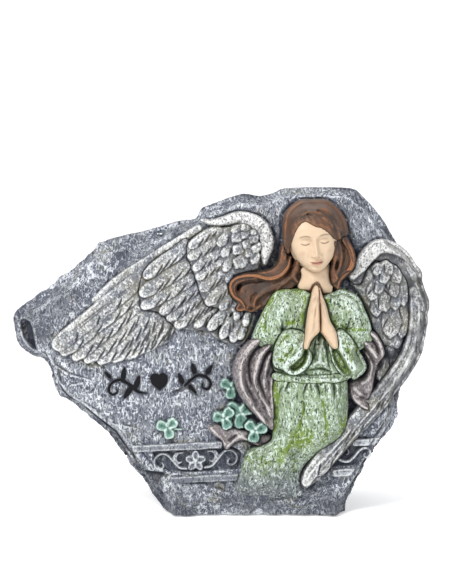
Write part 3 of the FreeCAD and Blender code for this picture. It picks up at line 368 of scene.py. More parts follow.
# foot of the stone stands forward
foot = np.clip((18.5 + 1.6 * big - GZ) / 10, 0, 1) ** .8 * np.clip((GX + 37) / 7, 0, 1) * np.clip((79 - GX) / 9, 0, 1)
L.D = np.where(L.D > NO + 1, L.D * (1 - foot) + foot * (7.0 + 2.9 * np.clip((9 - GZ) / 5, 0, 1) + 1.1 * big + 1.15 * mid + 0.3 * fine - 1.2 * np.exp(-((mid + .2 * big) / .22) ** 2)), L.D)

# ---- left wing ----
L = layer("left_wing_primaries")
TP = ((0, .12, .45, .8, .93, 1), (.6, .85, 1, .95, .82, .55))
PR = [[(-40.8, 106.4), (-34.2, 112.2), (-28.6, 119.2)], [(-49, 101.7), (-38.9, 110.1), (-31.4, 120.2)], [(-57.2, 98.1), (-45.5, 108.4), (-36.1, 121.6)], [(-65.9, 96), (-52.1, 107.7), (-39.8, 123)], [(-74.4, 94.7), (-58.6, 107.9), (-44.1, 123.9)],
      [(-82.6, 95.5), (-65.2, 109.8), (-47.8, 126.8)], [(-90.1, 97.1), (-71.8, 112.7), (-50.2, 131)], [(-97, 100), (-77.4, 116.4), (-56.8, 131.9), (-46.4, 141.3)]]
L.base([(-101.9, 103.2), (-97, 99.8), (-90.1, 96.9), (-82.6, 95.2), (-74.4, 94.4), (-65.9, 95.7), (-57.2, 97.8), (-49, 101.4), (-40.8, 106), (-30.4, 115.9), (-28.6, 119.2), (-39.8, 123), (-46.4, 141.3), (-64.3, 131.9), (-83.1, 118.8)], 1.3, edge=1.6, low=.4)
L.ink_and_shade[L.D > NO + 1] = .15
for i, p in enumerate(PR):
    L.feather(p[::-1], 4.6, 1.0, 2.8 + 0.06 * i, TP, crown=0.55, tilt=0.9, slits=5, seed=i, side=1, barb=0.16, lam=1.5, hi=0.5, shaft=.16, slit_len=1.5)
L.feather([(-100.2, 105.4), (-83.1, 119.2), (-64.3, 134.3), (-45.5, 149.3), (-26.7, 162)][::-1], 5.6, 1.4, 3.6, ((0, .12, .45, .8, .93, 1), (.6, .85, 1, 1, .96, .84)), crown=0.6, tilt=-0.1, barb=0.1, lam=1.4, slits=5, seed=31, side=1, hi=0.55, shaft=0.0, slit_len=0.8)
L.cut([(-98.6, 108.4), (-83.1, 120.5), (-64.3, 134.9), (-47.4, 146)], 0.35, 0.5, ink_and_shade=0.8)
L.cut([(-97.2, 107.5), (-81.2, 120.2), (-62.4, 134.6), (-49.2, 143.7)], 0.28, 0.35, ink_and_shade=0.5)
L.cut([(-90.6, 112.2), (-77.4, 123.5), (-60.5, 137.1), (-49.2, 146)], 0.25, 0.3, ink_and_shade=0.4)
L.feather([(-78.8, 132.4), (-64.3, 144.6), (-45.5, 156.8), (-28.6, 167.2), (-14.5, 176.3)][::-1], 2.9, 1.6, 1.9, ((0, .3, .8, 1), (.9, 1, .9, .5)), crown=0.45, barb=0.05, shaft=0, slits=0, hi=0.4, ink_and_shade=0.1, roll=2.4)

L = layer("left_wing_secondaries")
SP = ((0, .12, .5, .85, .95, 1), (.65, .9, 1, .95, .85, .7))
L.base([(-22.9, 170.2), (-20.3, 168.3), (-21.2, 161), (-18.5, 153.1), (-14.4, 141), (-12.8, 135), (-8.4, 129.7), (-0.8, 127.4), (5.4, 128.3), (11.6, 126.2), (20.4, 124.4), (18.9, 115.9), (15.7, 108.5), (10.7, 104), (2.2, 106), (-4.9, 109.5), (-9.6, 113.9), (-19.4, 113.4), (-30, 117.3), (-37.6, 124.4), (-47.3, 127.2), (-50.5, 135), (-49.5, 146.5), (-43.8, 155.2), (-30, 165.1)], 2.9, edge=2, low=2.0)
L.ink_and_shade[L.D > NO + 1] = .3
SE = [([(-15.3, 117), (-6.3, 125.5), (1.9, 132.4)], 3.2), ([(-26.6, 117.4), (-16.3, 125.2), (-1.9, 133.6)], 4.3), ([(-31.6, 121.8), (-20, 129.9), (-6.3, 137.4)], 4.0), ([(-36, 125.8), (-25.1, 133.6), (-10, 142.7)], 3.9),
      ([(-47, 129.2), (-35.1, 136.1), (-18.2, 146.1), (-11.3, 150.5)], 4.4), ([(-47.6, 137.1), (-37, 144.3), (-21.3, 153.7), (-13.8, 158.7)], 4.9), ([(-45.7, 148), (-38.2, 154), (-26.3, 161.5), (-16.3, 167.4)], 4.4)]
for i, (p, w) in enumerate(SE):
    L.feather(p[::-1], w, 2.6, 4.9 + 0.05 * i, SP, crown=0.7, tilt=0.7, slits=5, seed=10 + i, side=1, barb=0.17, lam=1.4, hi=0.55, shaft=.18, slit_len=1.45)

L = layer("left_wing_coverts")
L.base([(-20.3, 168.3), (-14.1, 172.5), (-4.3, 175.7), (5.4, 177.8), (16.4, 175.7), (21.3, 169.9), (21.7, 161.9), (22.7, 152), (16, 149.9), (5.4, 145.1), (5.4, 138), (9.3, 132.2), (5.4, 128.3), (-0.8, 127.4), (-8.4, 129.7), (-12.8, 135), (-14.4, 141), (-18.5, 153.1), (-21.2, 161)], 6.0, edge=3, low=4.4)
L.ink_and_shade[L.D > NO + 1] = .3
CO = [([(6.9, 127), (9.4, 131.1), (11.3, 134.9)], 2.6), ([(0.3, 128.3), (3.8, 132), (7.5, 136.7)], 3.2), ([(-7.8, 131.4), (-1.9, 136.4), (5, 141.8)], 4.0), ([(-11.3, 140.2), (-5.6, 144.3), (3.1, 149.9)], 4.0),
      ([(-14.3, 146.5), (-8.1, 150.5), (0.3, 154.9)], 3.0), ([(-16.3, 152.1), (-10, 156.5), (-0.9, 161.2)], 3.2), ([(-18.9, 159), (-11.9, 163.1), (-2.2, 168.4)], 3.4), ([(-18.3, 165.9), (-11.9, 170.9), (-2.5, 176.5)], 3.2)]
for i, (p, w) in enumerate(CO):
    L.feather(p[::-1], w, 4.6, 6.6, SP, crown=0.8, tilt=0.4, slits=3, seed=30 + i, side=1, barb=0.18, lam=1.2, hi=0.45, slit_len=1.4)
C2 = [([(3.6, 144.9), (6.3, 149)], 2.6), ([(2.2, 151.8), (5.6, 156.8)], 2.9), ([(0.9, 160.6), (4.7, 164.6)], 2.8), ([(-0.9, 167.4), (3.8, 172.5)], 3.3)]
for i, (p, w) in enumerate(C2):
    L.feather(p[::-1], w, 6.0, 7.4, SP, crown=0.7, seed=50 + i, barb=0.14, lam=1.0, hi=0.4, slits=1, side=1)
C3 = [([(9.1, 153.3), (12.5, 158.4)], 3.3), ([(8.2, 161.8), (11.9, 166.2)], 2.7), ([(7.2, 169.3), (11.3, 173.4)], 2.7), ([(18.8, 155.2), (21.3, 159.9)], 2.2), ([(15.7, 159.9), (19.1, 164)], 2.5), ([(14.1, 164.9), (16.9, 169)], 2.2),
      ([(13.2, 171.2), (16.3, 175)], 2.3), ([(19.7, 162.4), (21.9, 166.2)], 2.2), ([(18.2, 168.1), (20.7, 172.5)], 2.2), ([(6.3, 175), (10.7, 178.1)], 2.0), ([(12.5, 175.9), (16.3, 178.4)], 1.9), ([(18.5, 173.4), (20.7, 175.9)], 1.8)]
for i, (p, w) in enumerate(C3):
    L.feather(p[::-1], w * 1.42, 6.8, 8.0, ((0, .15, .5, .8, .93, 1), (.8, 1, 1, .88, .66, .4)), crown=0.6, seed=70 + i, barb=0.2, lam=0.95, hi=0.35, ink_and_shade=1.0, slits=1, side=0)
HG = [([(6.9, 108.2), (8.8, 113.6), (11.6, 118.6)], 3.2), ([(11.6, 109.5), (13.2, 114.2), (15, 117.9)], 2.4), ([(0.3, 110.4), (3.1, 115.4), (6.9, 120.5)], 3.3), ([(-6.9, 115.8), (-2.5, 120.5), (3.8, 126.1)], 3.6),
      ([(14.4, 117.9), (15.7, 122.3), (16.9, 125.5)], 2.6), ([(8.5, 121.7), (10.7, 125.8), (13.2, 128.6)], 2.6)]
for i, (p, w) in enumerate(HG):
    L.feather(p[::-1], w, 4.4, 6.4 + 0.1 * i, SP, crown=0.9, seed=90 + i, barb=0.14, lam=1.05, hi=0.4, slits=2, side=1)

L = layer("left_wing_arm")
AC = [(-13.1, 181.7), (-6.3, 180.1), (1.9, 181.2), (10, 183.1), (17.6, 181.7), (23.5, 177.8), (27, 171.8), (27.9, 165.6), (26.6, 159.3), (26.4, 154.9)]
sl, X, Z, t, s, LL = field(AC, 8)
hw = np.interp(t, [0, .12, .3, .5, .65, .8, .93, 1], [.8, 2.0, 3.4, 4.2, 4.9, 4.4, 2.9, 1.3])
r = np.clip(np.abs(s) / hw, 0, 1)
h = np.interp(t, [0, .2, .6, 1], [3.4, 5.2, 6.6, 4.5]) + 3.2 * np.sqrt(1 - r * r) - 0.8
L.D[sl] = np.where(np.abs(s) < hw, h + 0.24 * fine[sl] + .2 * mid[sl] - .8 * np.exp(-((WOB[sl] - 1.6) / .5) ** 2), NO)
L.hi[sl] = np.where(np.abs(s) < hw, 0.42 - 0.3 * r, 0)
L.mix[sl] = np.where(np.abs(s) < hw, 1.0, 0)

# ---- right wing ----
L = layer("right_wing_secondaries")
for i, (p, w, h) in enumerate([([(108, 96.3), (111.5, 103.4), (113.3, 111.1)], 2.8, 3.6), ([(103.8, 87.9), (107, 97.7), (110.1, 108.3)], 3.2, 3.8), ([(94.6, 89.3), (96.7, 97.7), (100.3, 106.9)], 3.2, 4.0), ([(96.6, 82.9), (99.9, 93.5), (104.1, 105.5)], 4.0, 4.6)]):
    L.feather(p[::-1], w, 2.2, h, ((0, .15, .45, .78, .93, 1), (.7, .95, 1, .85, .5, .15)), crown=.7, seed=110 + i, barb=.24, lam=1.3, shaft=.4, slits=3, hi=.3, side=0, skew=.5)
L = layer("right_wing_coverts")
BOWL = [(87.5, 147.8), (91.2, 155.7), (99.2, 154.8), (108.1, 146), (113, 135.4), (114.3, 124.7), (113.4, 114.1), (110.2, 101.7), (102.7, 103.5), (93.9, 107.4), (92, 114.1), (90.4, 123), (87.2, 131.8), (82.9, 138), (79, 142.8), (85, 142.1)]
L.base(BOWL, 4.2, edge=4, low=1.0)
L.hi[L.D > NO + 1] = 0.15
for i, (p, w, h) in enumerate([([(115.1, 112.2), (115.4, 121.7), (114.4, 132.3)], 2.6, 5.0), ([(110, 109.4), (111.9, 118.2), (112.6, 129.4)], 3.1, 5.2), ([(103.2, 109.7), (103.9, 118.2), (104.8, 125.9)], 4.6, 5.8), ([(111.5, 129.1), (110.5, 136.5), (109.4, 145)], 3.0, 6.0),
                                ([(95, 122.5), (94.1, 127.3), (92.6, 132.3)], 2.9, 6.2), ([(100.3, 125.9), (98.5, 132.3), (97.6, 137.2)], 4.0, 6.4), ([(106.2, 126.6), (105.9, 132.3), (105.2, 136.5)], 2.8, 6.2), ([(91.1, 132.6), (92.5, 137.6), (94.6, 142.1)], 3.2, 6.6),
                                ([(106, 134.5), (105, 140), (103.8, 145)], 2.8, 6.8), ([(96.7, 136.5), (95.9, 140), (96.7, 144.2)], 2.8, 7.0), ([(108.2, 143.2), (106.2, 147.8), (104.8, 151.3)], 3.0, 7.2), ([(99.9, 143.2), (98.5, 147.8), (96.9, 151.6)], 3.5, 7.4),
                                ([(94.3, 147.8), (94.6, 150.6), (95.3, 153.4)], 2.4, 7.2), ([(103.1, 148.5), (101.7, 152), (100.3, 154.8)], 2.4, 7.4)]):
    L.feather(p[::-1], w * 1.32, h - 1.2, h + 0.5, ((0, .15, .45, .75, .92, 1), (.8, 1, 1, .84, .52, .2)), crown=0.55, seed=130 + i, barb=0.26, lam=1.15, shaft=0.34, slits=2 if w > 3 else 1, side=0, hi=0.42, skew=.9)
L = layer("right_wing_primaries")
L.base([(84.2, 154.8), (87.2, 161.6), (95.7, 165.8), (106.3, 164.7), (113.4, 160.5), (119.6, 153.1), (124, 143.9), (126.5, 135.4), (127, 128.3), (124.3, 126.5), (126.1, 117.7), (125.2, 109.7), (121.5, 107), (120.8, 101.7), (118.7, 96.4), (114.3, 87.6), (108.1, 77.3), (101, 66.3), (92.1, 55.7), (83.3, 46.9), (74.4, 36.6), (67.3, 28.6), (59.4, 20.7), (51.8, 15.4), (48.2, 18.2), (48.2, 25.6), (53.5, 34.5), (62, 41.6), (72.7, 51.8), (82.4, 61.4), (89.5, 68.5), (97.8, 79.1), (105.4, 91.1), (110.2, 101.7), (113.4, 114.1), (114.3, 124.7), (113, 135.4), (108.1, 146), (99.2, 154.8), (91.2, 155.7), (87.5, 147.8), (85, 142.1), (79, 142.8), (81.9, 147.8)], 4.0, edge=2.5, low=1.2)
FT = ((0, .15, .5, .82, .94, 1), (.7, .9, 1, .95, .7, .3))
for i, (p, w, h0, h1, kw) in enumerate([
        ([(109.1, 159.8), (115.9, 154), (120.1, 150.6), (123.5, 146)], 2.6, 3.4, 4.2, dict(slits=1)), ([(112.5, 155.8), (119.2, 146.6), (122.9, 138.6), (125.1, 132.5)], 2.7, 3.8, 4.8, dict(slits=1)), ([(115.9, 150.9), (121.7, 140.2), (125.4, 132.5), (127.1, 124.5)], 2.8, 4.2, 5.2, dict(slits=2)),
        ([(118, 142.9), (122.3, 130.9), (125.1, 121.7), (125.8, 114.1)], 2.6, 4.6, 5.6, dict(slits=2)), ([(118, 135.6), (121.7, 123.3), (123.8, 115.6), (124.8, 107.3)], 2.8, 5.0, 6.0, dict(slits=2)), ([(120.1, 123.3), (122.6, 112.5), (122, 101.8), (117.4, 91.7), (112.5, 84.6)], 2.9, 5.2, 6.2, dict(slits=3)),
        ([(120.1, 114.1), (120.5, 101.8), (115.9, 89.5), (108.8, 78.8), (104.8, 73.2)], 2.8, 5.6, 6.6, dict(slits=4)), ([(118, 107.9), (116.2, 94.1), (110, 83.4), (101.1, 70.8), (94.1, 61.6)], 3.0, 5.8, 6.8, dict(slits=5)), ([(116.8, 101.8), (111.6, 88.9), (103.3, 77.2), (93.4, 64.9), (83.6, 53.3), (77.9, 46.5)], 3.1, 6.0, 7.0, dict(slits=6)),
        ([(114.3, 95.6), (107.3, 83.4), (97.9, 70.8), (87, 58), (76.4, 46.2), (66.4, 34.2), (61.1, 26.6)], 3.1, 6.2, 7.2, dict(slits=5, slit_len=1.5)), ([(118.6, 127.9), (119.2, 114.1), (116.2, 100.2), (109.1, 88), (99.6, 76), (88.8, 63.4), (77.2, 50.8), (66.4, 37.9), (58.7, 26.3)], 3.3, 6.6, 7.8, dict(slits=5, slit_len=1.6)),
        ([(117.1, 138.6), (118.3, 123.3), (116.8, 109.5), (112.5, 97.5), (105.1, 86.1), (95.9, 74.8), (84.8, 62.2), (73.8, 49.6), (63, 37.3), (55.7, 27.8), (52, 20.7)], 4.1, 7.2, 8.8, dict(slits=5, slit_len=1.7))]):
    L.feather(p, w, h0, h1, FT if i < 9 else ((0, .15, .5, .85, .96, 1), (.6, .85, .95, 1.12, 1.05, .8)), crown=.45, seed=150 + i, barb=.15, lam=1.35, shaft=.16, roll=.8, lift=.12, hi=.62, side=1, skew=.5, tilt=-.45, **kw)
L.ridge([(120.1, 142.9), (120.8, 130.9), (120.5, 118.7), (118, 106.1), (113.1, 94.1), (105.7, 82.7), (96.5, 71.4), (85.2, 58.8), (74.4, 47.8), (63, 35.8), (54.4, 26.3), (51.1, 20.4)], (.6, .8, .9, .9, .8, .8, .7, .7, .6), .7, .08, .05, hi=.9, ink_and_shade=-.5)
for p in ([(116.8, 132.5), (117.4, 117.1), (114.3, 103.3), (107.3, 90.7), (97.9, 78.5)], [(106.3, 84.6), (97.1, 72.9), (86.4, 60.6), (75.9, 49)], [(94.1, 69.2), (82.7, 56), (71.3, 43.5), (60.6, 31.5)], [(80.2, 52.4), (68, 38.5), (57.5, 26.3)]):
    L.cut(p, .3, .5, ink_and_shade=.75)
# speckled leading edge
L.lock([(79.8, 147.1), (84.4, 153.1), (89.8, 160.2), (96, 165.2), (104.2, 164.8), (112.5, 160.2), (118.6, 153.1), (122.1, 146.7)], [2.4, 4.2, 4.8, 4.6, 3.8, 3.0, 2.0, 0.8], 6.5, 5.0, strands=0, amp=0, crown=1.8, hi=0.35, seed=2)
le = [(79.8, 147.1), (84.4, 153.1), (89.8, 160.2), (96, 165.2), (104.2, 164.8), (112.5, 160.2), (118.6, 153.1), (122.1, 146.7)]
sl, X, Z, t, s_, LL = field(le, 5.5)
edge_m = (np.abs(s_) < np.interp(t, np.linspace(0, 1, 8), [2.4, 4.2, 4.8, 4.6, 3.8, 3.0, 2.0, 0.8])) & (L.D[sl] > NO + 1)
L.D[sl] = np.where(edge_m, L.D[sl] + .22 * fine[sl] + .2 * mid[sl] - .8 * np.exp(-((WOB[sl] - 1.6) / .5) ** 2), L.D[sl])
L.mix[sl] = np.where(edge_m, 1.0, L.mix[sl])

# ---- mantle ----
L = layer("mantle_left")
WIDE_L = [(40.8, 118), (28.4, 113.2), (17.8, 108.5), (10.4, 100.9), (6.8, 91.1), (7.9, 80.5), (12.8, 70.6), (21.3, 60.7), (31.2, 51.5), (34.1, 55.7), (34.1, 82.3), (34.1, 100), (36.4, 109.2)]
L.base(WIDE_L, 9.5, edge=5, low=3.0)
L.hi[L.D > NO + 1] = .25
for pts, hw, amp, hi in (([(40.8, 116.8), (30.2, 113.2), (19.6, 106.7), (13.4, 98.2), (11.1, 89.3), (12.5, 79.6), (18.1, 69), (25.2, 59.3), (30.5, 53.6)], (1.2, 1.8, 2.2, 2.4, 2.2, 2.0, 1.8, 1.4, 1.0), 5.5, 0.8),
                         ([(38.1, 110.6), (29.3, 105.6), (23.1, 98.2), (21, 90.2), (19.6, 82.3), (22.7, 75.2), (27.5, 67.2), (30.5, 59.3)], (1.0, 1.5, 1.7, 1.8, 1.5, 1.6, 1.4, 1.0), 4.0, 0.7),
                         ([(34.1, 104.4), (29.3, 98.2), (27, 91.1), (25.8, 85.8)], (1.0, 1.4, 1.4, 1.0), 3.5, 0.6), ([(15.7, 92.9), (16.4, 84), (20.4, 75.2), (25.8, 66.3)], (.8, 1.0, 1.0, .8), 1.4, 0.4)):
    L.ridge(pts, hw, amp, 0.08, 0.08, hi=hi)
for pts, hw, amp, ink_and_shade in (([(40.8, 114.1), (28.4, 108.8), (19.6, 101.4), (16.4, 92.9), (17.4, 84), (23.1, 73.4), (29.3, 61.9)], 1.2, -2.0, 0.5), ([(36.4, 107), (27.5, 100), (24, 91.1), (22.7, 84), (25.8, 76.1), (29.8, 67.2)], 1.0, -1.9, 0.5), ([(28.8, 84), (29.1, 78.7), (29.8, 71.6)], .7, -1.0, 0.4)):
    L.ridge(pts, hw, amp, 0.1, 0.15, ink_and_shade=ink_and_shade)
for p, w, a in (([(31.2, 87.9), (30.2, 78.7), (30.9, 69), (31.6, 59.3)], (.9, 1.3, 1.2, .8), 2.4), ([(27.5, 92.9), (25.8, 82.3), (27.7, 71.6), (30.9, 62.4)], (.8, 1.0, .9, .6), 1.6), ([(39, 114.1), (31.1, 107), (26.3, 100), (23.1, 92.9)], (1, 1.3, 1.3, 1), 1.5), ([(13.5, 100), (11.8, 91.1), (13.5, 79.6), (19.6, 69)], (.8, 1, 1, .8), 1.4)):
    L.ridge(p, w, a, .1, .1, hi=.6)
L.clip_to(WIDE_L)
L = layer("mantle_right")
WIDE_R = [(x + (1.6 if x > 72 else 0), z) for x, z in SHAWL_R]
L.base(WIDE_R, 9.5, edge=4, low=3.0)
L.hi[L.D > NO + 1] = .25
for pts, hw, amp, hi in (([(77, 114.8), (83.3, 115.2), (90.4, 113.6), (95.7, 108.3), (98, 101.3), (97.4, 96.3)], (1.0, 1.5, 1.8, 1.8, 1.6, 1.2), 4.2, 0.8), ([(77, 113.9), (83.3, 110.4), (88.3, 105.5), (92.5, 100.5), (95.3, 95.6)], (1.2, 1.8, 2.0, 1.8, 1.2), 4.5, 0.8),
                         ([(86.9, 102), (90, 95.6), (90.7, 90), (88.3, 84.3), (83.3, 81.5)], (1.0, 1.6, 1.9, 1.7, 1.2), 4.5, 0.8), ([(78, 77.3), (79.4, 72.8), (83.4, 69.2), (88.4, 66.3), (91.1, 66.9)], (1.0, 1.4, 1.6, 1.4, 1.0), 3.4, 0.9),
                         ([(79.1, 80.1), (82.6, 77.3), (86.2, 73.8)], (1.2, 1.4, 1.2), 2.0, 0.4)):
    L.ridge(pts, hw, amp, 0.08, 0.1, hi=hi)
for pts, hw, amp, ink_and_shade in (([(83.3, 114.1), (89.7, 110.4), (94.3, 105.1), (96.4, 99.1)], 0.8, -2.6, 1.0), ([(81.9, 108.3), (87.6, 102.7), (91.1, 97.7), (93.2, 92.1), (91.1, 84.3)], 1.0, -2.8, 0.9), ([(83.9, 73.7), (87.5, 71.9), (90.2, 69.2)], 1.4, -2.0, 0.7)):
    L.ridge(pts, hw, amp * .7, 0.1, 0.15, ink_and_shade=ink_and_shade * .7)
L.clip_to(SHAWL_R, grow=1.6)
L = layer("mantle_end")
L.base(SHAWL_E, 4.0, edge=2.5, low=1.0)
L.ridge([(2.8, 41.1), (6.9, 45.6), (11.4, 48.3), (15.9, 46), (21.3, 42.9), (26.2, 42.4), (30.7, 44.9)], (0.9, 1.3, 1.5, 1.4, 1.4, 1.2, 0.9), 2.6, 0.05, 0.05, hi=0.9)
L.ridge([(-8, 54.6), (-3.5, 50.3), (0.1, 45.8), (2.8, 41.3)], 0.9, 1.2, 0.05, 0.1, hi=0.7)
L.ridge([(-1.7, 53.9), (2.8, 49.4), (7.3, 50.3), (13.6, 50.3), (20.8, 49.4)], 1.8, 1.3, hi=0.3)
L.ridge([(3.7, 44.9), (8.2, 48.5), (10, 49.4)], 0.8, -1.4, ink_and_shade=0.7)
L.clip_to(SHAWL_E)

# ---- robe ----
RIMS = np.zeros((NX, NZ))
L = layer("skirt")
L.base([(31.9, 107), (54.1, 107), (77.3, 107), (76.9, 92.9), (77.6, 71.6), (77.3, 61), (74.8, 50.8), (67.3, 43.7), (55.8, 35.9), (49.1, 27.4), (48.2, 18.5), (50, 14.1), (47.9, 10.6), (33.7, 9.7), (21.3, 10.8), (9.3, 13.2), (10.7, 23.9), (16, 38.9), (24, 42.4), (30.5, 46), (31.2, 53.9), (30.5, 64.6), (29.3, 75.2), (30.2, 91.1)], 19.5, edge=13, low=0.6, power=0.62, soften=2.4)
L.clip_to(SKIRT)
sinkz = np.clip((GZ - 8) / 48, 0, 1)
L.D = np.where(L.D > NO + 1, L.D * (0.36 + 0.64 * sinkz ** 0.8), L.D)
knee = np.exp(-((GX - 62) / 9) ** 2 - ((GZ - 58) / 17) ** 2)
L.D = np.where(L.D > NO + 1, L.D + 2.2 * knee, L.D)
for pts, hw, amp in (([(44.2, 83.6), (42.9, 71.9), (40.6, 61.1), (37, 50.3), (28.9, 39.5), (20.8, 28.7), (16.3, 19.7)], (1.5, 2.4, 3.0, 3.4, 4.0, 4.4, 4), 1.8), ([(55.1, 83.6), (56, 70.1), (57.8, 57.5), (56, 44.9), (49.6, 34.1)], (1.4, 2.2, 2.8, 2.8, 2.0), 1.5),
                     ([(64.1, 83.6), (65.9, 71.9), (68.6, 62.9), (67.7, 53.9)], (1.3, 2.0, 2.6, 2.2), 1.6), ([(37, 50.3), (38.8, 39.5), (37, 28.7), (33.4, 18.8)], (1.5, 2.6, 3, 2.4), 1.3), ([(20.8, 41.3), (24.4, 44.9), (31.6, 48.5)], (1.5, 2.2, 1.5), 0.8)):
    L.ridge(pts, hw, amp, 0.1, 0.25, hi=0.12)
for pts, hw, amp in (([(49.6, 74.6), (49.6, 64.7), (46, 53.9), (40.6, 43.1), (33.4, 32.3)], (.8, 1.4, 1.8, 2.0, 1.6), -1.3), ([(60.5, 74.6), (62.7, 62.9), (63.2, 52.1), (58.7, 41.3)], (.8, 1.4, 1.8, 1.6), -1.2), ([(35.2, 80.9), (33.4, 70.1), (33.4, 57.5), (28.9, 46.7)], (1.2, 1.8, 1.8, 1.4), -1.2),
                     ([(44.2, 37.7), (44.2, 28.7), (42.4, 19.7)], (1.2, 1.8, 1.4), -0.8)):
    L.ridge(pts, hw, amp, 0.1, 0.25, mix=0.75)
for pts, w in (([(40.9, 83.8), (39.7, 80.9), (37.9, 77.1)], .75), ([(51.6, 82.9), (50.4, 79.3), (48.7, 74.4)], .7), ([(53.7, 82.3), (54.2, 79.1), (54.9, 77.3)], .45), ([(57.3, 82.9), (58.7, 79.1), (59.7, 74.4)], .8), ([(62.5, 81.8), (63, 79.1), (62.8, 76.4)], .45), ([(67.4, 82.9), (68.2, 79.1), (67.9, 73)], .85), ([(37, 80.9), (35.7, 78.2), (34.8, 73.7)], .5),
               ([(71.7, 81.8), (72.2, 78.2), (72.2, 74.6)], .45)):
    L.cut(pts, w, 3.0 * w + 0.4, ink_and_shade=1.0, tw=(.8, 1, .7, .1))
for pts in ([(45.6, 83.2), (45.1, 80), (44.2, 76.4)], [(55.5, 82.7), (56.4, 79.1), (56.9, 74.6)], [(65.1, 82.7), (65.7, 78.2), (65.5, 73.7)], [(69.9, 82.3), (70.4, 78.2), (70.4, 74.6)]):
    L.ridge(pts, 0.8, 0.9, hi=0.5)
L.mix = np.maximum(L.mix, 0.9 * np.exp(-((GX - 29.5 - 0.05 * (GZ - 60)) / 3.6) ** 2) * np.clip((GZ - 48) / 10, 0, 1))
L.mix = np.maximum(L.mix, 0.8 * np.exp(-((GX - 74) / 3.2) ** 2 - ((GZ - 56) / 9) ** 2))
L.mix = np.maximum(L.mix, 0.75 * np.exp(-((GX - 49) / 10) ** 2 - ((GZ - 49) / 9) ** 2))
L.ink_and_shade = np.maximum(L.ink_and_shade, .34 * np.exp(-((GX - 54) / 20) ** 2 - ((GZ - 47) / 14) ** 2) * np.clip(.8 + .5 * mid, 0, 1.4))
L.ink_and_shade = np.maximum(L.ink_and_shade, .30 * np.clip((GX - 69) / 6, 0, 1) * np.clip((84 - GZ) / 8, 0, 1) * np.clip(.8 + .4 * mid, 0, 1.3))
L.mix = np.maximum(L.mix, 0.6 * np.exp(-((GX - 26) / 8) ** 2 - ((GZ - 34) / 6) ** 2))
L = layer("bodice")
L.base([(47, 140), (33.7, 138.6), (27.5, 130.1), (22.2, 119.4), (18.1, 107.8), (23.1, 104.4), (30.2, 100), (31.1, 82.3), (30.2, 64.6), (78.3, 64.6), (77.6, 82.3), (80.6, 98.2), (87.2, 103.5), (92.1, 107.8), (91.2, 117.7), (87.7, 126.5), (83.3, 135), (74.1, 140), (67.3, 146), (47.9, 146)], 18.4, edge=11, low=3.0, power=0.6, soften=2.2)
L.clip_to(BODICE)
for pts, hw, amp, hi in (([(40.2, 138.2), (38.2, 133.1), (36.2, 127), (35.2, 120.4)], (3.2, 4.2, 4.2, 3), 1.6, 0.4), ([(72.3, 137.7), (77.4, 133.1), (80.5, 127), (82, 120.4)], (3.0, 4.2, 4.2, 3), 1.6, 0.4),
                         ([(61.1, 112.2), (60.1, 105.1), (59.1, 97.9), (59.1, 93.4)], (1.0, 1.4, 1.6, 1.4), 2.2, 0.6), ([(56, 105.1), (55, 100), (54, 95.4)], (.8, 1.1, 1), 1.5, 0.3), ([(62.1, 105.1), (63.2, 99), (63.7, 93.9)], (.8, 1.2, 1), 1.5, 0.3),
                         ([(52, 92.3), (56, 94.9), (59.1, 95.9), (62.1, 94.4), (64.2, 91.3)], (.7, 1.0, 1.2, 1.0, .7), 1.6, 1.0)):
    L.ridge(pts, hw, amp, 0.15, 0.15, hi=hi)
for pts, w, d in (([(36.8, 121.6), (36.8, 118.3), (36.6, 115.3)], .55, 2.6), ([(34.9, 117.3), (36.2, 115.8), (37.2, 114.5)], .5, 2.0), ([(40.2, 118.3), (38.7, 116.8), (37.4, 115.3)], .5, 1.8), ([(32.6, 119.3), (33.1, 117.3), (34.4, 115.5)], .35, 1.0), ([(77.5, 122.4), (76.9, 119.3), (75.9, 115.8)], .6, 2.6),
                  ([(74.4, 120.4), (74.9, 118.3), (75.4, 115.8)], .4, 1.6), ([(71.8, 118.8), (73.3, 117.3), (74.9, 115.8)], .4, 1.2), ([(80.5, 118.3), (78.4, 116.8), (76.4, 115.5)], .4, 1.2), ([(57, 110.7), (56, 105.1), (54, 97.4)], .8, 2.2), ([(59.1, 114.2), (59.3, 112.2), (58.6, 109.2)], 1.2, 2.6),
                  ([(52, 93.9), (54, 95.9), (56, 100), (56.5, 104.1)], .6, 1.4), ([(65.7, 90.8), (64.2, 96.9), (63.7, 103), (62.1, 109.2)], .8, 2.2), ([(50.9, 90.8), (55, 91.3), (59.1, 91.8), (63.2, 90.8), (66.7, 89.8)], .7, 2.0), ([(56, 89.8), (60.1, 92.3), (64.2, 90.3)], .4, 1.0),
                  ([(26.5, 122.4), (26.5, 119.3), (27, 116.3)], .4, 0.9), ([(47.9, 111.2), (48.9, 106.1), (47.4, 101)], .5, 1.0)):
    L.cut(pts, w, d, ink_and_shade=1.0, tw=(.3, .8, 1, .6))
for c, r in (([(36.9, 115.3)], 1.5), ([(75.8, 115.8)], 1.3)):
    g = np.exp(-((GX - c[0][0]) ** 2 + (GZ - c[0][1]) ** 2) / r ** 2)
    L.D = np.where(L.D > NO + 1, L.D - 2.5 * g, L.D); L.ink_and_shade = np.maximum(L.ink_and_shade, g)
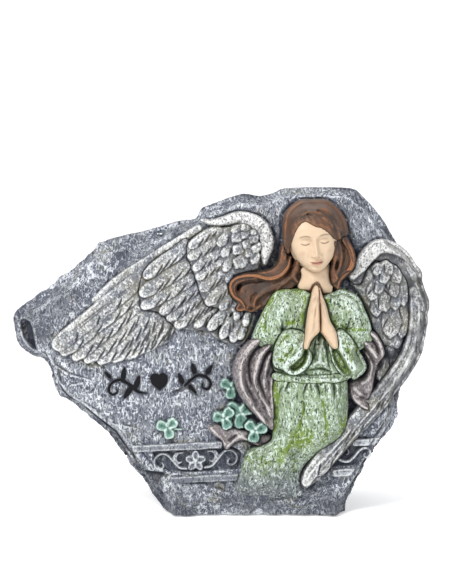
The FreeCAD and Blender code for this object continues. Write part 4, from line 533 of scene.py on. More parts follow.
for pts, w in (([(27.5, 129), (30.6, 135.6), (36.7, 140.2), (43.8, 140), (47.4, 138.2)], 2.0), ([(49.9, 135.6), (49.9, 130.5), (48.9, 125.4), (49.4, 120.4)], 1.3), ([(63.7, 134.1), (64.2, 128), (66.2, 122.4), (69.3, 118.3)], 1.5), ([(71.8, 141.2), (74.4, 140.7), (78.4, 139.2)], 2.2), ([(39.7, 119.3), (44.8, 120.4), (49.9, 119.8)], 1.4),
               ([(68.3, 119.3), (71.8, 117.8), (75.4, 115.8)], 1.0), ([(26.5, 125.4), (25, 119.3), (25.5, 115.3)], 1.6), ([(78.4, 115.8), (83.5, 115.3), (87.6, 115.8)], 1.0)):
    sl, X, Z, t, s, LL = field(pts, w * 2.6)
    L.mix[sl] = np.maximum(L.mix[sl], 0.95 * np.exp(-(s / w) ** 2))
# pale collar edge
L.ridge([(44.1, 140.5), (45.8, 139.1), (48.9, 136.9), (51.7, 135.6)], 0.55, 0.7, 0.02, 0.1, hi=0.8)
L.ridge([(67.2, 139.4), (64.7, 137.2), (63.2, 134.1)], 0.55, 0.7, 0.02, 0.1, hi=0.8)
L = layer("sash")
L.base(BELT, 20.4, edge=2.6, low=18.6, soften=.6)
L.D = np.where(L.D > NO + 1, L.D - 7.0 * np.clip(np.abs(GX - 56) / 24, 0, 1.2) ** 3.2, L.D)
L.ridge([(31.1, 87.8), (43.8, 86.5), (59.1, 85.2), (71.8, 85.2), (76.9, 85.7)], 0.7, 0.4, 0.02, 0.02, hi=0.25)
L.mix[L.D > NO + 1] = 0.25
L.cut([(31.6, 89), (43.8, 88), (59.1, 86.6), (71.8, 86.6)], 0.35, 0.5, ink_and_shade=0.7, tw=(1, 1, 1, 1))
for k in range(9):
    x = 38 + k * 4.6
    L.cut([(x, 88.9), (x + 0.4, 86.8), (x + 0.2, 85.0)], 0.3, 0.4, ink_and_shade=0.5)
for name, out, mouth, rim, folds, cuts in (
        ("sleeve_left", SLEEVE_L, [(50, 103.8), (47.9, 99.5), (43.8, 95.7), (40.8, 93.1), (42.8, 90.7), (47.4, 92.9), (50.4, 96.4), (52.1, 102)],
         [(50.2, 115.3), (49.5, 110.2), (47.9, 104.8), (45.3, 100.7), (41, 97.4), (38.1, 94.6), (38.2, 91.3), (40.8, 89), (44.6, 88.2), (48.4, 90.6), (50.9, 94.4), (52.7, 100), (53.5, 104.1)],
         [([(47.9, 114.2), (44.8, 110.2), (40.2, 106.1), (36.2, 102)], (1.6, 2.4, 2.6, 2.0), 1.6), ([(38.7, 112.2), (35.7, 107.6), (33.6, 102.5), (33.1, 97.4)], (1.2, 1.8, 2.0, 1.4), 1.2), ([(45.3, 107.1), (42.3, 103), (38.7, 100)], (1.0, 1.4, 1.0), 1.0)],
         [([(43.8, 106.1), (40.2, 102), (36.7, 98.5)], .5, 1.4), ([(40.8, 113.2), (36.2, 109.2), (32.6, 105.1)], .45, 1.1), ([(33.6, 96.9), (35.7, 97.9), (37.7, 97.4)], .5, 1.4)]),
        ("sleeve_right", SLEEVE_R, [(66.8, 104.1), (69.5, 103.8), (73.1, 98.5), (75.9, 93.4), (78.2, 89), (75.9, 87.5), (71.3, 91.6), (67.6, 97.4), (66.5, 102)],
         [(69.5, 115.5), (70.5, 110.2), (71.6, 105.1), (73.6, 100.5), (76.9, 95.4), (79.9, 90.1), (78.9, 86.6), (75.4, 85.8), (71.6, 88.5), (68.3, 93.4), (66, 99), (64.6, 104.1), (63.9, 109.2)],
         [([(72.3, 113.2), (74.9, 108.1), (78.4, 103), (81.5, 96.9), (83.5, 90.8)], (1.2, 2.0, 2.4, 2.6, 2.0), 1.7), ([(76.4, 113.2), (81, 108.1), (85.1, 102), (86.6, 95.9)], (1.2, 1.8, 2.0, 1.4), 1.4)],
         [([(73.6, 110.2), (75.4, 105.6), (77.4, 100), (79.5, 95.9)], .5, 1.2), ([(77.4, 110.2), (82, 104.1), (84.5, 97.9)], .45, 1.2)])):
    L = layer(name)
    L.base(out, 25.5, edge=6, low=18.6, soften=1.0)
    for pts, hw, amp in folds:
        L.ridge(pts, hw, amp, hi=0.12)
    for pts, w, d in cuts:
        L.cut(pts, w, d, ink_and_shade=0.6)
        L.ridge(pts, 1.6, -0.2, mix=0.9)
    sl, X, Z = win([p[0] for p in mouth], [p[1] for p in mouth], 1.5)
    dn = -sdf(smooth_pts(mouth, 4, True), X, Z)
    k = np.clip((dn + 0.4) / 1.0, 0, 1)
    L.D[sl] = np.where(L.D[sl] > NO + 1, L.D[sl] - k * 5.0, L.D[sl])
    L.mix[sl] = np.maximum(L.mix[sl], 2.0 * k)
    # the sleeve mouth is painted dark inside: painted shade in the opening
    L.ink_and_shade[sl] = np.maximum(L.ink_and_shade[sl], 0.30 * k + 0.5 * np.exp(-((dn - 0.3) / 0.5) ** 2))
    L.hi[sl] = L.hi[sl] * (1 - k)
    L.ridge(rim, 1.0, 1.5, 0.02, 0.05, hi=2.0, ink_and_shade=-0.9)
    sl, X, Z, t, s, LL = field(rim, 2.6)
    RIMS[sl] = np.maximum(RIMS[sl], np.exp(-(s / 1.15) ** 2))
    L.mix[sl] = L.mix[sl] * (1 - .8 * np.exp(-(s / .9) ** 2))
    L.clip_to(out, grow=0.35)

# ---- neck, hands ----
L = layer("neck")
L.base([(48.9, 153.1), (48.6, 146.9), (46.1, 140.3), (51.8, 136.8), (58, 134.7), (67.3, 136.8), (67.3, 144.2), (66.3, 151.3), (65.6, 154.8)], 15.0, edge=6, low=6.0, soften=1.6)
L.ridge([(55, 147.8), (56.4, 141.6), (57.6, 136.3)], 1.1, 0.7, hi=0.2)
L.ridge([(61.7, 147.8), (60.3, 141.6), (58.9, 136.3)], 1.1, 0.7, hi=0.2)
L = layer("hand_left")
L.base([(57.5, 143.3), (55.6, 141.5), (54.4, 138.2), (53.5, 133.6), (52, 128), (51.2, 122.4), (50.4, 116.3), (50, 111.7), (48.9, 104.6), (52, 104.3), (53.5, 108.6), (56, 111.7), (59.1, 115), (59.3, 122.4), (59.1, 130.5), (58.6, 138.2)], 29.5, edge=2.2, low=22.5)
HR = layer("hand_right")
HR.base([(57.5, 143.3), (59.1, 141.2), (60.2, 137.7), (61.4, 134.1), (63.2, 129), (64.2, 124.4), (65.5, 120.4), (68.3, 115.8), (69.5, 111.7), (70, 104.8), (66.7, 104.3), (64.2, 107.6), (61.6, 111.7), (59.2, 115), (58.9, 122.4), (58.6, 130.5), (58.1, 138.2)], 29.0, edge=2.2, low=22.0)
# index fingers and thumbs: long soft rolls that meet at the finger tips
L.ridge([(56.8, 142.5), (55.6, 139.2), (54.6, 134.1), (53.5, 128), (52.7, 122.4), (52.2, 116.3), (51.2, 110.2)], (0.9, 1.5, 1.9, 2.2, 2.4, 2.4, 2.2), 2.6, 0.03, 0.3, hi=0.25)
L.ridge([(57.5, 138.2), (57.3, 134.1), (57.2, 129), (57.5, 123.4), (57.7, 119.3)], (0.7, 1.0, 1.2, 1.5, 1.2), 1.5, 0.1, 0.3, hi=0.2)
HR.ridge([(58.2, 142.5), (59.3, 139.2), (60.5, 134.1), (61.7, 128), (63.1, 121.9), (65.7, 116.3), (67.3, 110.2)], (0.9, 1.5, 1.9, 2.2, 2.4, 2.4, 2.2), 2.6, 0.03, 0.3, hi=0.25)
HR.ridge([(58.6, 138.2), (59.3, 134.1), (59.7, 129), (60, 123.4), (59.9, 119.3)], (0.7, 1.0, 1.2, 1.5, 1.2), 1.5, 0.1, 0.3, hi=0.2)
L.ridge([(57.5, 135.6), (56.8, 132.6), (56, 127.5), (55.5, 122.4)], 0.42, -0.7, 0.1, 0.2, mix=0.35, ink_and_shade=.25)
HR.ridge([(58.6, 136.1), (59.4, 133.1), (60.4, 128.5), (61.5, 122.4)], 0.42, -0.7, 0.1, 0.2, mix=0.35, ink_and_shade=.25)
L.ridge([(56.5, 138.7), (55.4, 134.1), (54.3, 129), (53.5, 124.4)], 0.38, -0.5, 0.1, 0.2, ink_and_shade=.2)
HR.ridge([(59.7, 138.2), (61, 133.6), (62.3, 128.5), (63.7, 123.9)], 0.38, -0.5, 0.1, 0.2, ink_and_shade=.2)
L.ridge([(54.5, 122.4), (53.5, 118.3), (52.7, 114.2)], 1.2, 0.6, 0.2, 0.3)
HR.ridge([(63.7, 122.4), (64.9, 118.3), (66.2, 114.2)], 1.2, 0.6, 0.2, 0.3)
L.ridge([(58.6, 140.7), (58.7, 135.6), (58.9, 128), (59.2, 120.4), (59.2, 115.3)], 0.45, -1.2, 0.02, 0.02, mix=.7, ink_and_shade=.3)
HR.ridge([(58.6, 140.7), (58.7, 135.6), (58.9, 128), (59.2, 120.4), (59.2, 115.3)], 0.45, -1.2, 0.02, 0.02, mix=.7, ink_and_shade=.3)

# ---- hair ----
L = layer("hair_crown")
CAPO = [(39.6, 165.7), (38.2, 168.2), (37.4, 172.3), (37.8, 177.2), (39, 181.7), (41.1, 185.9), (44.4, 189.6), (48.1, 192), (52.2, 193.5), (57.1, 193.7), (62, 192.6), (66.6, 189.6), (70.7, 184.6), (74, 179.3), (77.2, 172.7), (75.2, 171.5), (71.9, 172.3), (70.7, 170.6), (68.6, 169), (67, 172.7), (64.1, 175.2), (60.4, 176.8), (56.3, 177.6), (53, 179.3), (50.9, 180.5), (48.9, 180.3), (46.4, 178.5), (43.1, 174.8), (41.7, 171.5), (41.1, 168.2), (41.5, 164.1), (40.7, 161.6)]
L.base(CAPO, 23.0, edge=9, low=9.0, power=0.7)
TH = [(0.5, 1.9, 2.2, 2.2, 1.6)]
for p, w, h0, h1, hi in [
        ([(55, 193.1), (49.7, 192.4), (44.6, 189.1), (40.7, 184.2), (38.6, 177.6)], (1.2, 2.2, 2.6, 2.6, 1.6), 22.0, 12.0, 0.75), ([(57.1, 193.3), (62.9, 192.2), (68.2, 188.1), (72.7, 181.7), (76, 173.9)], (1.2, 2.2, 2.6, 2.8, 1.4), 22.0, 12.0, 0.45),
        ([(53.8, 190.4), (48.5, 188.7), (43.5, 184.2), (40, 178.5), (38.4, 170.6)], (1.0, 2.4, 2.8, 2.6, 1.6), 23.8, 13.5, 1.0), ([(54.6, 190), (60.4, 188.3), (65.7, 183.8), (70.3, 178.5), (73.5, 172.7)], (1.0, 2.4, 2.8, 2.6, 1.4), 23.8, 14.5, 0.6),
        ([(53, 187.1), (48.5, 185), (43.9, 180.1), (40.9, 173.9), (39.4, 167.4), (40.7, 161.6)], (0.8, 2.0, 2.4, 2.4, 2.0, 1.2), 25.2, 15.0, 0.5), ([(53.4, 186.9), (58.7, 184.6), (64.1, 180.5), (68.6, 176), (71.1, 170.6)], (0.8, 2.2, 2.6, 2.4, 1.4), 25.4, 18.0, 0.85),
        ([(53.4, 188.1), (49.3, 184.6), (45.6, 180.5), (42.5, 175.6), (40.9, 169.8), (40.4, 164.1)], (0.3, 1.5, 2.0, 2.0, 1.7, 1.0), 26.0, 18.0, 0.35), ([(53.4, 188.1), (55.9, 182.8), (60, 179.3), (64.3, 176.2), (67.6, 172.3), (69, 168.2)], (0.3, 1.8, 2.3, 2.1, 1.7, 1.0), 26.4, 19.0, 0.25)]:
    L.lock(p, w, h0, h1, strands=4.4, amp=0.34, crown=0.45, hi=hi * .8, seed=len(p), wave=1.2, lift=0.1, roll=1.6, ink_and_shade=.35)
pit = np.exp(-((GX - [(53.8, 187.4)][0][0]) ** 2 + (GZ - [(53.8, 187.4)][0][1]) ** 2) / 2.6 ** 2)
L.D = np.where((L.D > NO + 1) & (pit > .25), np.maximum(L.D, 26.2 - 1.6 * (1 - pit) + .12 * np.sin(GX * 3.1)), L.D); L.ink_and_shade = L.ink_and_shade * (1 - pit)
L = layer("hair_lock_right")
for p, w, h0, h1, hi, st in [
        ([(72.7, 172.3), (75.2, 168.2), (77.2, 162), (76.4, 155.4), (73.5, 149.7), (71.1, 144.3), (70.3, 139.4)], (2.2, 3.0, 3.4, 3.4, 3.0, 2.2, 1.4), 11, 12, 0.3, 4),
        ([(71.5, 173.9), (74, 169), (77.6, 164.9), (79.5, 159.1), (78.5, 153.4), (75.2, 148.9), (71.9, 145.2), (70.7, 142.3), (70.6, 139.4), (70, 136.5)], (1.2, 1.6, 2.0, 2.2, 2.1, 2.0, 1.9, 1.7, 1.3, .6), 13, 13.5, 1.15, 3),
        ([(69.4, 170.6), (71.1, 165.7), (71.9, 160), (71.5, 154.2), (69.8, 149.3), (68.6, 145.6)], (1.4, 1.9, 1.9, 1.6, 1.5, .9), 14.5, 14.0, 0.5, 3),
        ([(68.2, 169), (69.2, 164.1), (68.8, 158.7), (67.6, 153.4), (67.4, 148.5), (67.8, 143.9), (69, 140.2)], (1.0, 1.5, 1.6, 1.5, 1.7, 1.5, .6), 16, 14.5, 0.55, 3),
        ([(68.6, 148.5), (69.8, 146), (71.1, 143.5), (70.7, 139.4)], (1.2, 1.8, 1.6, .7), 14.5, 14, 1.1, 2)]:
    L.lock(p, w, h0, h1, strands=st * 1.25, amp=0.36, crown=0.85, hi=hi * .85, seed=len(p) + 3, wave=0.7, lift=0.15, roll=1.4, ink_and_shade=.4)
L = layer("hair_lock_left")
for p, w, h0, h1, hi, st in [
        ([(43.7, 151), (39.4, 144.1), (33.3, 138.1), (27.3, 132.9), (22.1, 128.6), (18.7, 126)], (2.4, 4.2, 5.2, 4.6, 3.0, 1.2), 6.0, 4.5, 0.2, 6),
        ([(47.1, 146.7), (42, 142.4), (35.1, 137.2), (29, 132.9), (23.9, 127.8)], (2.4, 3.0, 3.0, 2.2, 1.0), 7.5, 5.5, 0.3, 4),
        ([(48, 154.5), (42, 146.7), (35.1, 143.3), (27.3, 141.6), (20.4, 139.8), (16.1, 135.5), (17, 130.4), (21.3, 128.6)], (2.4, 3.0, 3.2, 3.4, 3.2, 2.8, 2.0, .8), 8.0, 6.5, 0.3, 5),
        ([(47.1, 151), (40.2, 145.9), (31.6, 140.7), (24.7, 137.2), (20.4, 132.9), (19.6, 126.9)], (1.4, 1.7, 1.9, 1.9, 1.7, .7), 9.2, 7.4, 0.4, 3),
        ([(19.6, 142.4), (13.5, 139.8), (12.7, 134.7), (16.1, 130.4), (15.2, 126)], (1.6, 2.2, 2.2, 1.8, .8), 7.5, 6.5, 0.3, 4),
        ([(38.5, 169.1), (37.6, 161.4), (36.8, 154.5), (31.6, 149.3), (23.9, 147.6), (15.2, 146.7), (8.4, 144.1), (6.6, 139), (9.2, 133.8), (13.1, 130.4), (14, 126.9)], (1.8, 2.4, 3.0, 3.2, 3.0, 2.8, 2.8, 2.6, 2.2, 1.7, .7), 10.5, 7.0, 0.6, 5),
        ([(42, 159.6), (40.2, 152.8), (35.1, 147.6), (28.2, 145.9), (21.3, 147.6), (14.4, 147.6), (8.4, 145.9), (5.3, 141.6), (7.1, 135.5), (11.8, 132.1), (14.4, 127.8)], (1.1, 1.4, 1.6, 1.7, 1.5, 1.3, 1.2, 1.2, 1.2, 1.1, .6), 12.0, 8.2, 1.25, 2),
        ([(45.8, 157.9), (45.4, 152.8), (43.7, 147.6), (47.1, 142.4)], (1.6, 2.0, 1.8, .9), 12.5, 10.0, 0.35, 3),
        ([(44.5, 149.3), (39.4, 144.1), (35.9, 141.6), (33.3, 138.1)], (.9, 1.2, 1.1, .6), 10.4, 8.5, 0.55, 2),
        ([(10.9, 129.9), (9.2, 127.3), (11.8, 126.5), (14.8, 127.3)], (.9, 1.1, 1.0, .5), 7.2, 7.0, 1.0, 2),
        ([(23.9, 129.5), (21.3, 127.3), (18.3, 125.6), (16.5, 126.5)], (1.0, 1.1, .9, .5), 6.8, 6.2, 0.5, 2)]:
    L.lock(p, w, h0, h1, strands=st * 1.25, amp=0.36, crown=0.85, hi=hi * .85, seed=len(p) + 7, wave=0.8, lift=0.15, roll=1.4, ink_and_shade=.4)

# the hair lies on the skull: never lower than the head under it
def skull_depth():
    th, ph = math.radians(6.0), math.radians(10.0)
    dx, dz = GX - 55.3, GZ - 170.2
    xx = dx * math.cos(th) + dz * math.sin(th); zz = -dx * math.sin(th) + dz * math.cos(th)
    v = (zz + 1.9) / (.92 * math.cos(ph))
    a = np.interp(v, [-21.2, -20.4, -18.5, -16, -12, -7, -2, 4, 10, 15, 18.5, 20.6, 21.4], [0.3, 3.4, 6.2, 8.6, 11.4, 13.4, 14.2, 14.4, 13.8, 11.6, 8.4, 4.4, 0.3])
    c = np.interp(v, [-21.2, -20.2, -18, -14, -9, -4, 0, 4, 9, 14, 18, 21.4], [4.6, 8.6, 11.0, 12.2, 12.6, 12.6, 12.3, 12.6, 12.0, 9.6, 6.4, 0.5])
    r = np.abs(xx) / a
    w = c * np.sqrt(np.clip(1 - r ** 2.5, 0, 1))
    return np.where((r < 1) & (np.abs(v) < 21.3), 14.4 + .97 * w * math.cos(ph) + .92 * v * math.sin(ph), NO)


SKULL = skull_depth()

# ---- clovers ----
def clover(name, cx, cz, size, turn, h, stem=1):
    L = layer(name)
    if stem:
        a = turn - 1.02
        L.lock([(cx, cz), (cx + size * .5 * math.cos(a), cz + size * .55 * math.sin(a)), (cx + size * 1.15 * math.cos(a + .15), cz + size * 1.15 * math.sin(a + .15))], (.55, .5, .6), h * .4, h * .4, strands=0, amp=0, crown=.7, hi=.8, lift=0)
    for k in range(3):
        a = turn + 2 * math.pi * k / 3
        lx, lz = cx + size * .50 * math.cos(a), cz + size * .50 * math.sin(a)
        sl, X, Z = win([lx], [lz], size * .62)
        uu = (X - lx) * math.cos(a) + (Z - lz) * math.sin(a); vv = -(X - lx) * math.sin(a) + (Z - lz) * math.cos(a)
        R = size * .47
        notch = 0.20 * np.exp(-(vv / (0.22 * R)) ** 2) * (uu > 0)
        q = np.sqrt((uu / R) ** 2 + (vv / (R * (0.94 + 0.14 * uu / R))) ** 2) + notch
        ins = q < 1
        hh = h * .72 + 0.5 * np.clip((1 - q) * 4, 0, 1) ** .5 - 0.55 * np.exp(-(q / .55) ** 2) + 0.25 * h * q - 0.45 * np.exp(-(vv / .35) ** 2) * (uu < R * .7)
        L.D[sl] = np.where(ins, np.maximum(hh, L.D[sl]), L.D[sl])
        # pale dry-brushed rim on each leaflet; the first leaflet is painted lighter all over, a painted highlight on
        # that side
        L.hi[sl] = np.where(ins, np.exp(-((1 - q) / .16) ** 2) + .25 * (k == 0), L.hi[sl])
        L.ink_and_shade[sl] = np.where(ins, .5 * np.exp(-(vv / .4) ** 2) * (uu < 0), L.ink_and_shade[sl])


clover("clover_single", -33.4, 53.6, 8.0, .75, 3.2)
clover("clover_upper", 5.6, 78.6, 8.0, .5, 3.6)
clover("clover_back", 11.6, 62.8, 10.6, .6, 4.4, 0)
clover("clover_left", 1.6, 60.0, 8.2, .9, 6.0)
clover("clover_front", 20.6, 52.5, 8.4, .3, 8.6)

# ---- frieze ----
def rail(L, x0, z0, x1, z1, h):
    pts = [(x0, z0), (x1, z1), (x1 - .2, z1 - h), (x0 + .6, z0 - h)]
    sl, X, Z = win([x0, x1], [z0 - h, z1], 2)
    dn = -sdf(pts, X, Z) + 0.12 * mid[sl]
    e = np.clip(dn / .8, 0, 1)
    dn = np.minimum(dn, -.7 - sR[sl])
    L.D[sl] = np.where(dn > 0, 0.9 + 1.3 * (1 - (1 - e) ** 2) ** .5 - 0.25 * np.exp(-((dn - 1.5) / .35) ** 2) + .06 * fine[sl], L.D[sl])
    L.hi[sl] = np.where(dn > 0, (.2 if x0 < 60 else .75) + .45 * np.exp(-((dn - .6) / .5) ** 2), L.hi[sl])


L = layer("frieze_upper_rail"); rail(L, -56.0, 42.6, 0.6, 45.2, 4.9); rail(L, 80.0, 46.4, 101.0, 47.4, 4.8)
L = layer("frieze_lower_rail"); rail(L, -33.6, 22.8, 10.6, 25.0, 4.6); rail(L, 68.0, 27.4, 91.5, 28.9, 4.8)
ROS = (-16.2, 32.6)
SCROLL = [(5.4, -4.4), (10.0, -3.6), (14.0, 0.6), (18.0, 5.0), (22.4, 5.2), (25.6, 1.6), (24.6, -2.6), (21.4, -3.8), (19.6, -1.6), (21.2, 0.4)]
CURL = [(7.2, 5.6), (10.8, 5.2), (12.2, 1.8), (10.2, -0.8), (8.2, 0.2)]
CURL2 = [(11.6, 6.0), (13.4, 4.4), (13.2, 1.0)]
RS = [(72.6, 33.4), (77.6, 32.2), (81.6, 35.0), (85.6, 39.8), (89.8, 40.6), (92.2, 37.4), (90.4, 34.4), (87.8, 35.6), (88.8, 37.6)]
L = layer("frieze_scrolls")
for side in (1, -1):
    for c, w in ((SCROLL, (.95, .9, .9, .85, .75, .65)), (CURL, (.75, .7, .55)), (CURL2, (.4, .6, .4))):
        L.lock([(ROS[0] + side * a, ROS[1] + .06 * side * a + b) for a, b in c], w, .5, .5, strands=0, amp=0, crown=1.3, hi=.95, ink_and_shade=.5, lift=0, roll=.3)
L.lock(RS, (1.0, 1.05, 1.0, .75), .9, .9, strands=0, amp=0, crown=1.5, hi=1.5, ink_and_shade=.5, lift=0, roll=.3)
L.lock([(74.5, 38.6), (77.6, 40.2), (78.6, 37.4), (76.6, 36.2)], (.5, .65, .5), .5, .5, strands=0, amp=0, crown=1.1, hi=.9, ink_and_shade=.5, lift=0, roll=.3)
L = layer("frieze_rosette")
for k in range(5):
    a = math.pi / 2 + 2 * math.pi * k / 5
    lx, lz = ROS[0] + 3.8 * math.cos(a), ROS[1] + 3.8 * math.sin(a)
    sl, X, Z = win([lx], [lz], 3.8)
    uu = (X - lx) * math.cos(a) + (Z - lz) * math.sin(a); vv = -(X - lx) * math.sin(a) + (Z - lz) * math.cos(a)
    q = np.sqrt((uu / 3.0) ** 2 + (vv / (2.3 + .3 * uu / 3.0)) ** 2)
    hh = 1.7 + .9 * np.exp(-((q - .8) / .22) ** 2) - .5 * np.exp(-(vv / .3) ** 2)
    L.D[sl] = np.where(q < 1, np.maximum(hh, L.D[sl]), L.D[sl])
    L.hi[sl] = np.where(q < 1, np.maximum(L.hi[sl], .35 + .8 * np.exp(-((q - .85) / .2) ** 2)), L.hi[sl])
sl, X, Z = win([ROS[0]], [ROS[1]], 2)
q = np.hypot(X - ROS[0], Z - ROS[1]) / 1.5
L.D[sl] = np.where(q < 1, 2.2 + 1.3 * np.sqrt(np.clip(1 - q * q, 0, 1)), L.D[sl]); L.hi[sl] = np.where(q < 1, .9, L.hi[sl])

# ---- engraved sprig: a groove in the stone and dark enamel in it ----
SC, TILT = (-38.5, 81.0), math.radians(3.4)
VINE = [(8.2, -6.0), (13.5, -4.6), (18.5, 0.0), (24.0, 3.2), (29.5, 1.6), (31.6, -2.6), (29.4, -5.6), (26.4, -4.2), (26.6, -1.8)]
VINE_W = [0.7, 1.7, 2.1, 1.9, 1.9, 1.7, 1.5, 1.2, 0.9]
LEAVES = [(13.4, 1.6, 7.6, 3.1, 1.9), (20.2, -5.2, 7.8, 3.1, -0.95), (21.6, 7.4, 7.4, 2.9, 1.75), (31.4, 6.6, 6.6, 2.7, 0.9)]
cs, sn = math.cos(TILT), math.sin(TILT)
UU = (GX - SC[0]) * cs + (GZ - SC[1]) * sn; WW = -(GX - SC[0]) * sn + (GZ - SC[1]) * cs
mark = np.full((NX, NZ), 9.0)          # signed distance to the mark, negative inside
for side in (1, -1):
    pts = [(SC[0] + side * a * cs - b * sn, SC[1] + side * a * sn + b * cs) for a, b in VINE]
    sl, X, Z, t, s, LL = field(pts, 3)
    mark[sl] = np.minimum(mark[sl], np.abs(s) - np.interp(t, np.linspace(0, 1, 9), VINE_W) / 2)
    for a, b, ln, wd, tn in LEAVES:
        du, dw = side * UU - a, WW - b
        lu = du * math.cos(tn) + dw * math.sin(tn); lw = -du * math.sin(tn) + dw * math.cos(tn)
        q = np.sqrt((lu / (ln / 2)) ** 2 + (lw / (wd / 2 * np.clip(1 - 0.35 * lu / (ln / 2), .4, 1.6))) ** 2)
        mark = np.minimum(mark, (q - 1) * wd * .45)
hx, hz = UU / 6.4, WW / 6.4 + .08
hrt = (hx * hx * 1.25 + (hz * 1.22 - .62 * np.sqrt(np.abs(hx) + .012)) ** 2) - .92
mark = np.minimum(mark, hrt * 2.2)
R = layers["rock"]
R.D = np.where(R.D > NO + 1, R.D - 1.25 * np.clip(-mark / .35 + .3, 0, 1), R.D)
R.ink_and_shade = np.maximum(R.ink_and_shade, 1.0 * np.exp(-((mark - .1) / .45) ** 2))
R.hi = R.hi * (mark > .5)
L = layer("engraving_inlay")
L.D = np.where(mark < .15, -.55, NO)

# ---- a fine cast grain over the robe, mantle, wing and clover pieces, and pits over the stone ----
PITS = np.clip(grain(51, .75, 1.0) - 1.15, 0, 2)
for nm_, k1, k2, kp in (("skirt", .16, .10, .5), ("bodice", .14, .10, .45), ("sash", .08, .05, .2), ("sleeve_left", .08, .06, .3), ("sleeve_right", .08, .06, .3), ("mantle_left", .14, .10, .4), ("mantle_right", .14, .10, .4), ("mantle_end", .12, .1, .3),
                       ("left_wing_primaries", .10, .12, .25), ("left_wing_secondaries", .10, .12, .25), ("left_wing_coverts", .08, .10, .2), ("right_wing_primaries", .10, .12, .25), ("right_wing_coverts", .08, .1, .2), ("right_wing_secondaries", .08, .1, .2),
                       ("clover_front", .05, .05, 0), ("clover_left", .05, .05, 0), ("clover_back", .05, .05, 0), ("clover_upper", .05, .05, 0), ("clover_single", .05, .05, 0)):
    L = layers[nm_]
    L.D = np.where(L.D > NO + 1, L.D + k1 * WOB + k2 * fine - kp * PITS, L.D)
R = layers["rock"]
R.D = np.where(R.D > NO + 1, R.D - .35 * PITS, NO)
R.ink_and_shade = np.maximum(R.ink_and_shade, np.clip(sF / 2.5, 0, 1) * np.clip(.26 + .16 * mid + .10 * big, 0, .6))
R.ink_and_shade = np.maximum(R.ink_and_shade, np.clip((17 - GZ) / 8, 0, 1) * np.clip(.44 + .25 * mid + .12 * big, 0, .75))
R.ink_and_shade = np.maximum(R.ink_and_shade, .72 * np.clip((GX - 66) / 5, 0, 1) * np.exp(-((GZ - 36) / 9) ** 4) * np.clip(.9 + .3 * mid, .4, 1.1))
R.hi = np.maximum(R.hi, .55 * np.exp(-((sF + .9 + .6 * mid) / 1.1) ** 2) * np.clip(.5 + .6 * big, 0, 1) * (mark > .5))
for nm_, k in (("right_wing_primaries", .45), ("right_wing_secondaries", .85), ("right_wing_coverts", .12)):
    L = layers[nm_]
    shade = k * np.clip((GZ - 62) / 20, 0, 1) * np.clip(.9 + .5 * WOB + .3 * mid, 0, 1.6) * (L.mix < .5)
    L.ink_and_shade = np.maximum(L.ink_and_shade, np.where(L.D > NO + 1, shade, 0))
S_ = layers["skirt"]
g = np.exp(-(((GX - 42.7) ** 2 + (GZ - 45.7) ** 2) / 2.4 ** 2) ** 2); mk_ = (S_.D > NO + 1) * 1.0
even = blur(S_.D * mk_, 2.0) / np.maximum(blur(mk_, 2.0), .1)
S_.D = np.where(mk_ > 0, S_.D * (1 - g) + (even + .12 * WOB) * g, S_.D); S_.ink_and_shade = S_.ink_and_shade * (1 - g)
S_.ink_and_shade = np.maximum(S_.ink_and_shade, np.clip((76 - GZ) / 26, 0, 1) * np.clip(.12 + .20 * mid, 0, .5) * np.clip((GZ - 8) / 22, .45, 1))
S_.mix = np.maximum(S_.mix, np.clip((74 - GZ) / 20, 0, 1) * np.clip(.30 + .25 * big, 0, .7) * (S_.D > NO + 1))

# ============ C. from maps to closed meshes ============
def compose(names):
    top = np.full((NX, NZ), -30.0)
    ink_and_shade = np.zeros((NX, NZ)); hi = np.zeros((NX, NZ)); mx = np.zeros((NX, NZ))
    for n in names:
        L = layers[n]
        m = L.D > top
        top[m] = L.D[m]; ink_and_shade[m] = L.ink_and_shade[m]; hi[m] = L.hi[m]; mx[m] = L.mix[m]
    return top, ink_and_shade, hi, mx


def rounded(F, R=3.5, c0=2.2, k=10.0, slope=3.2, reach=7.6):
    """No sheer cliffs: beside a drop the surface may only rise along a round shoulder."""
    E = F.copy(); n = int(reach / H)
    for i in range(-n, n + 1):
        for j in range(-n, n + 1):
            r = math.hypot(i, j) * H
            if r < .3 or r > reach:
                continue
            q = min(r, R) / R
            lim = c0 + k * math.sqrt(1 - (1 - q) ** 2) + slope * max(0.0, r - R)
            a0, a1, b0, b1 = max(0, -i), min(NX, NX - i), max(0, -j), min(NZ, NZ - j)
            E[a0:a1, b0:b1] = np.minimum(E[a0:a1, b0:b1], F[a0 + i:a1 + i, b0 + j:b1 + j] + lim)
    return E


BACKS = {"hand_left": 14.0, "hand_right": 14.0, "sleeve_left": 9.0, "sleeve_right": 9.0, "sash": 9.0, "neck": 2.0, "hair_crown": 0.0, "hair_lock_right": 0.0, "hair_lock_left": -1.0, "right_wing_primaries": -8.0, "right_wing_coverts": -5.0,
         "right_wing_secondaries": -5.0, "frieze_upper_rail": -2.5, "frieze_lower_rail": -2.5, "frieze_rosette": -2.5, "frieze_scrolls": -2.5, "engraving_inlay": -1.5}
T0 = compose(list(layers))[0]
T0 = np.where(T0 < -29, -14.0, T0)
LIMIT = rounded(blur(np.maximum(T0, SKULL), .35))
for nm_, L in layers.items():
    if nm_ != "rock":
        lo = BACKS.get(nm_, -2.0) + 1.2
        L.D = np.where(L.D > NO + 1, np.minimum(L.D, np.maximum(LIMIT, lo)), NO)
for nm_, up in (("hair_crown", .8), ("hair_lock_right", .9)):
    L = layers[nm_]
    L.D = np.where((L.D > NO + 1) & (SKULL > NO + 1), np.maximum(L.D, SKULL + up + .18 * np.sin((GX - 50) * 1.9 + (GZ - 170) * .9)), L.D)
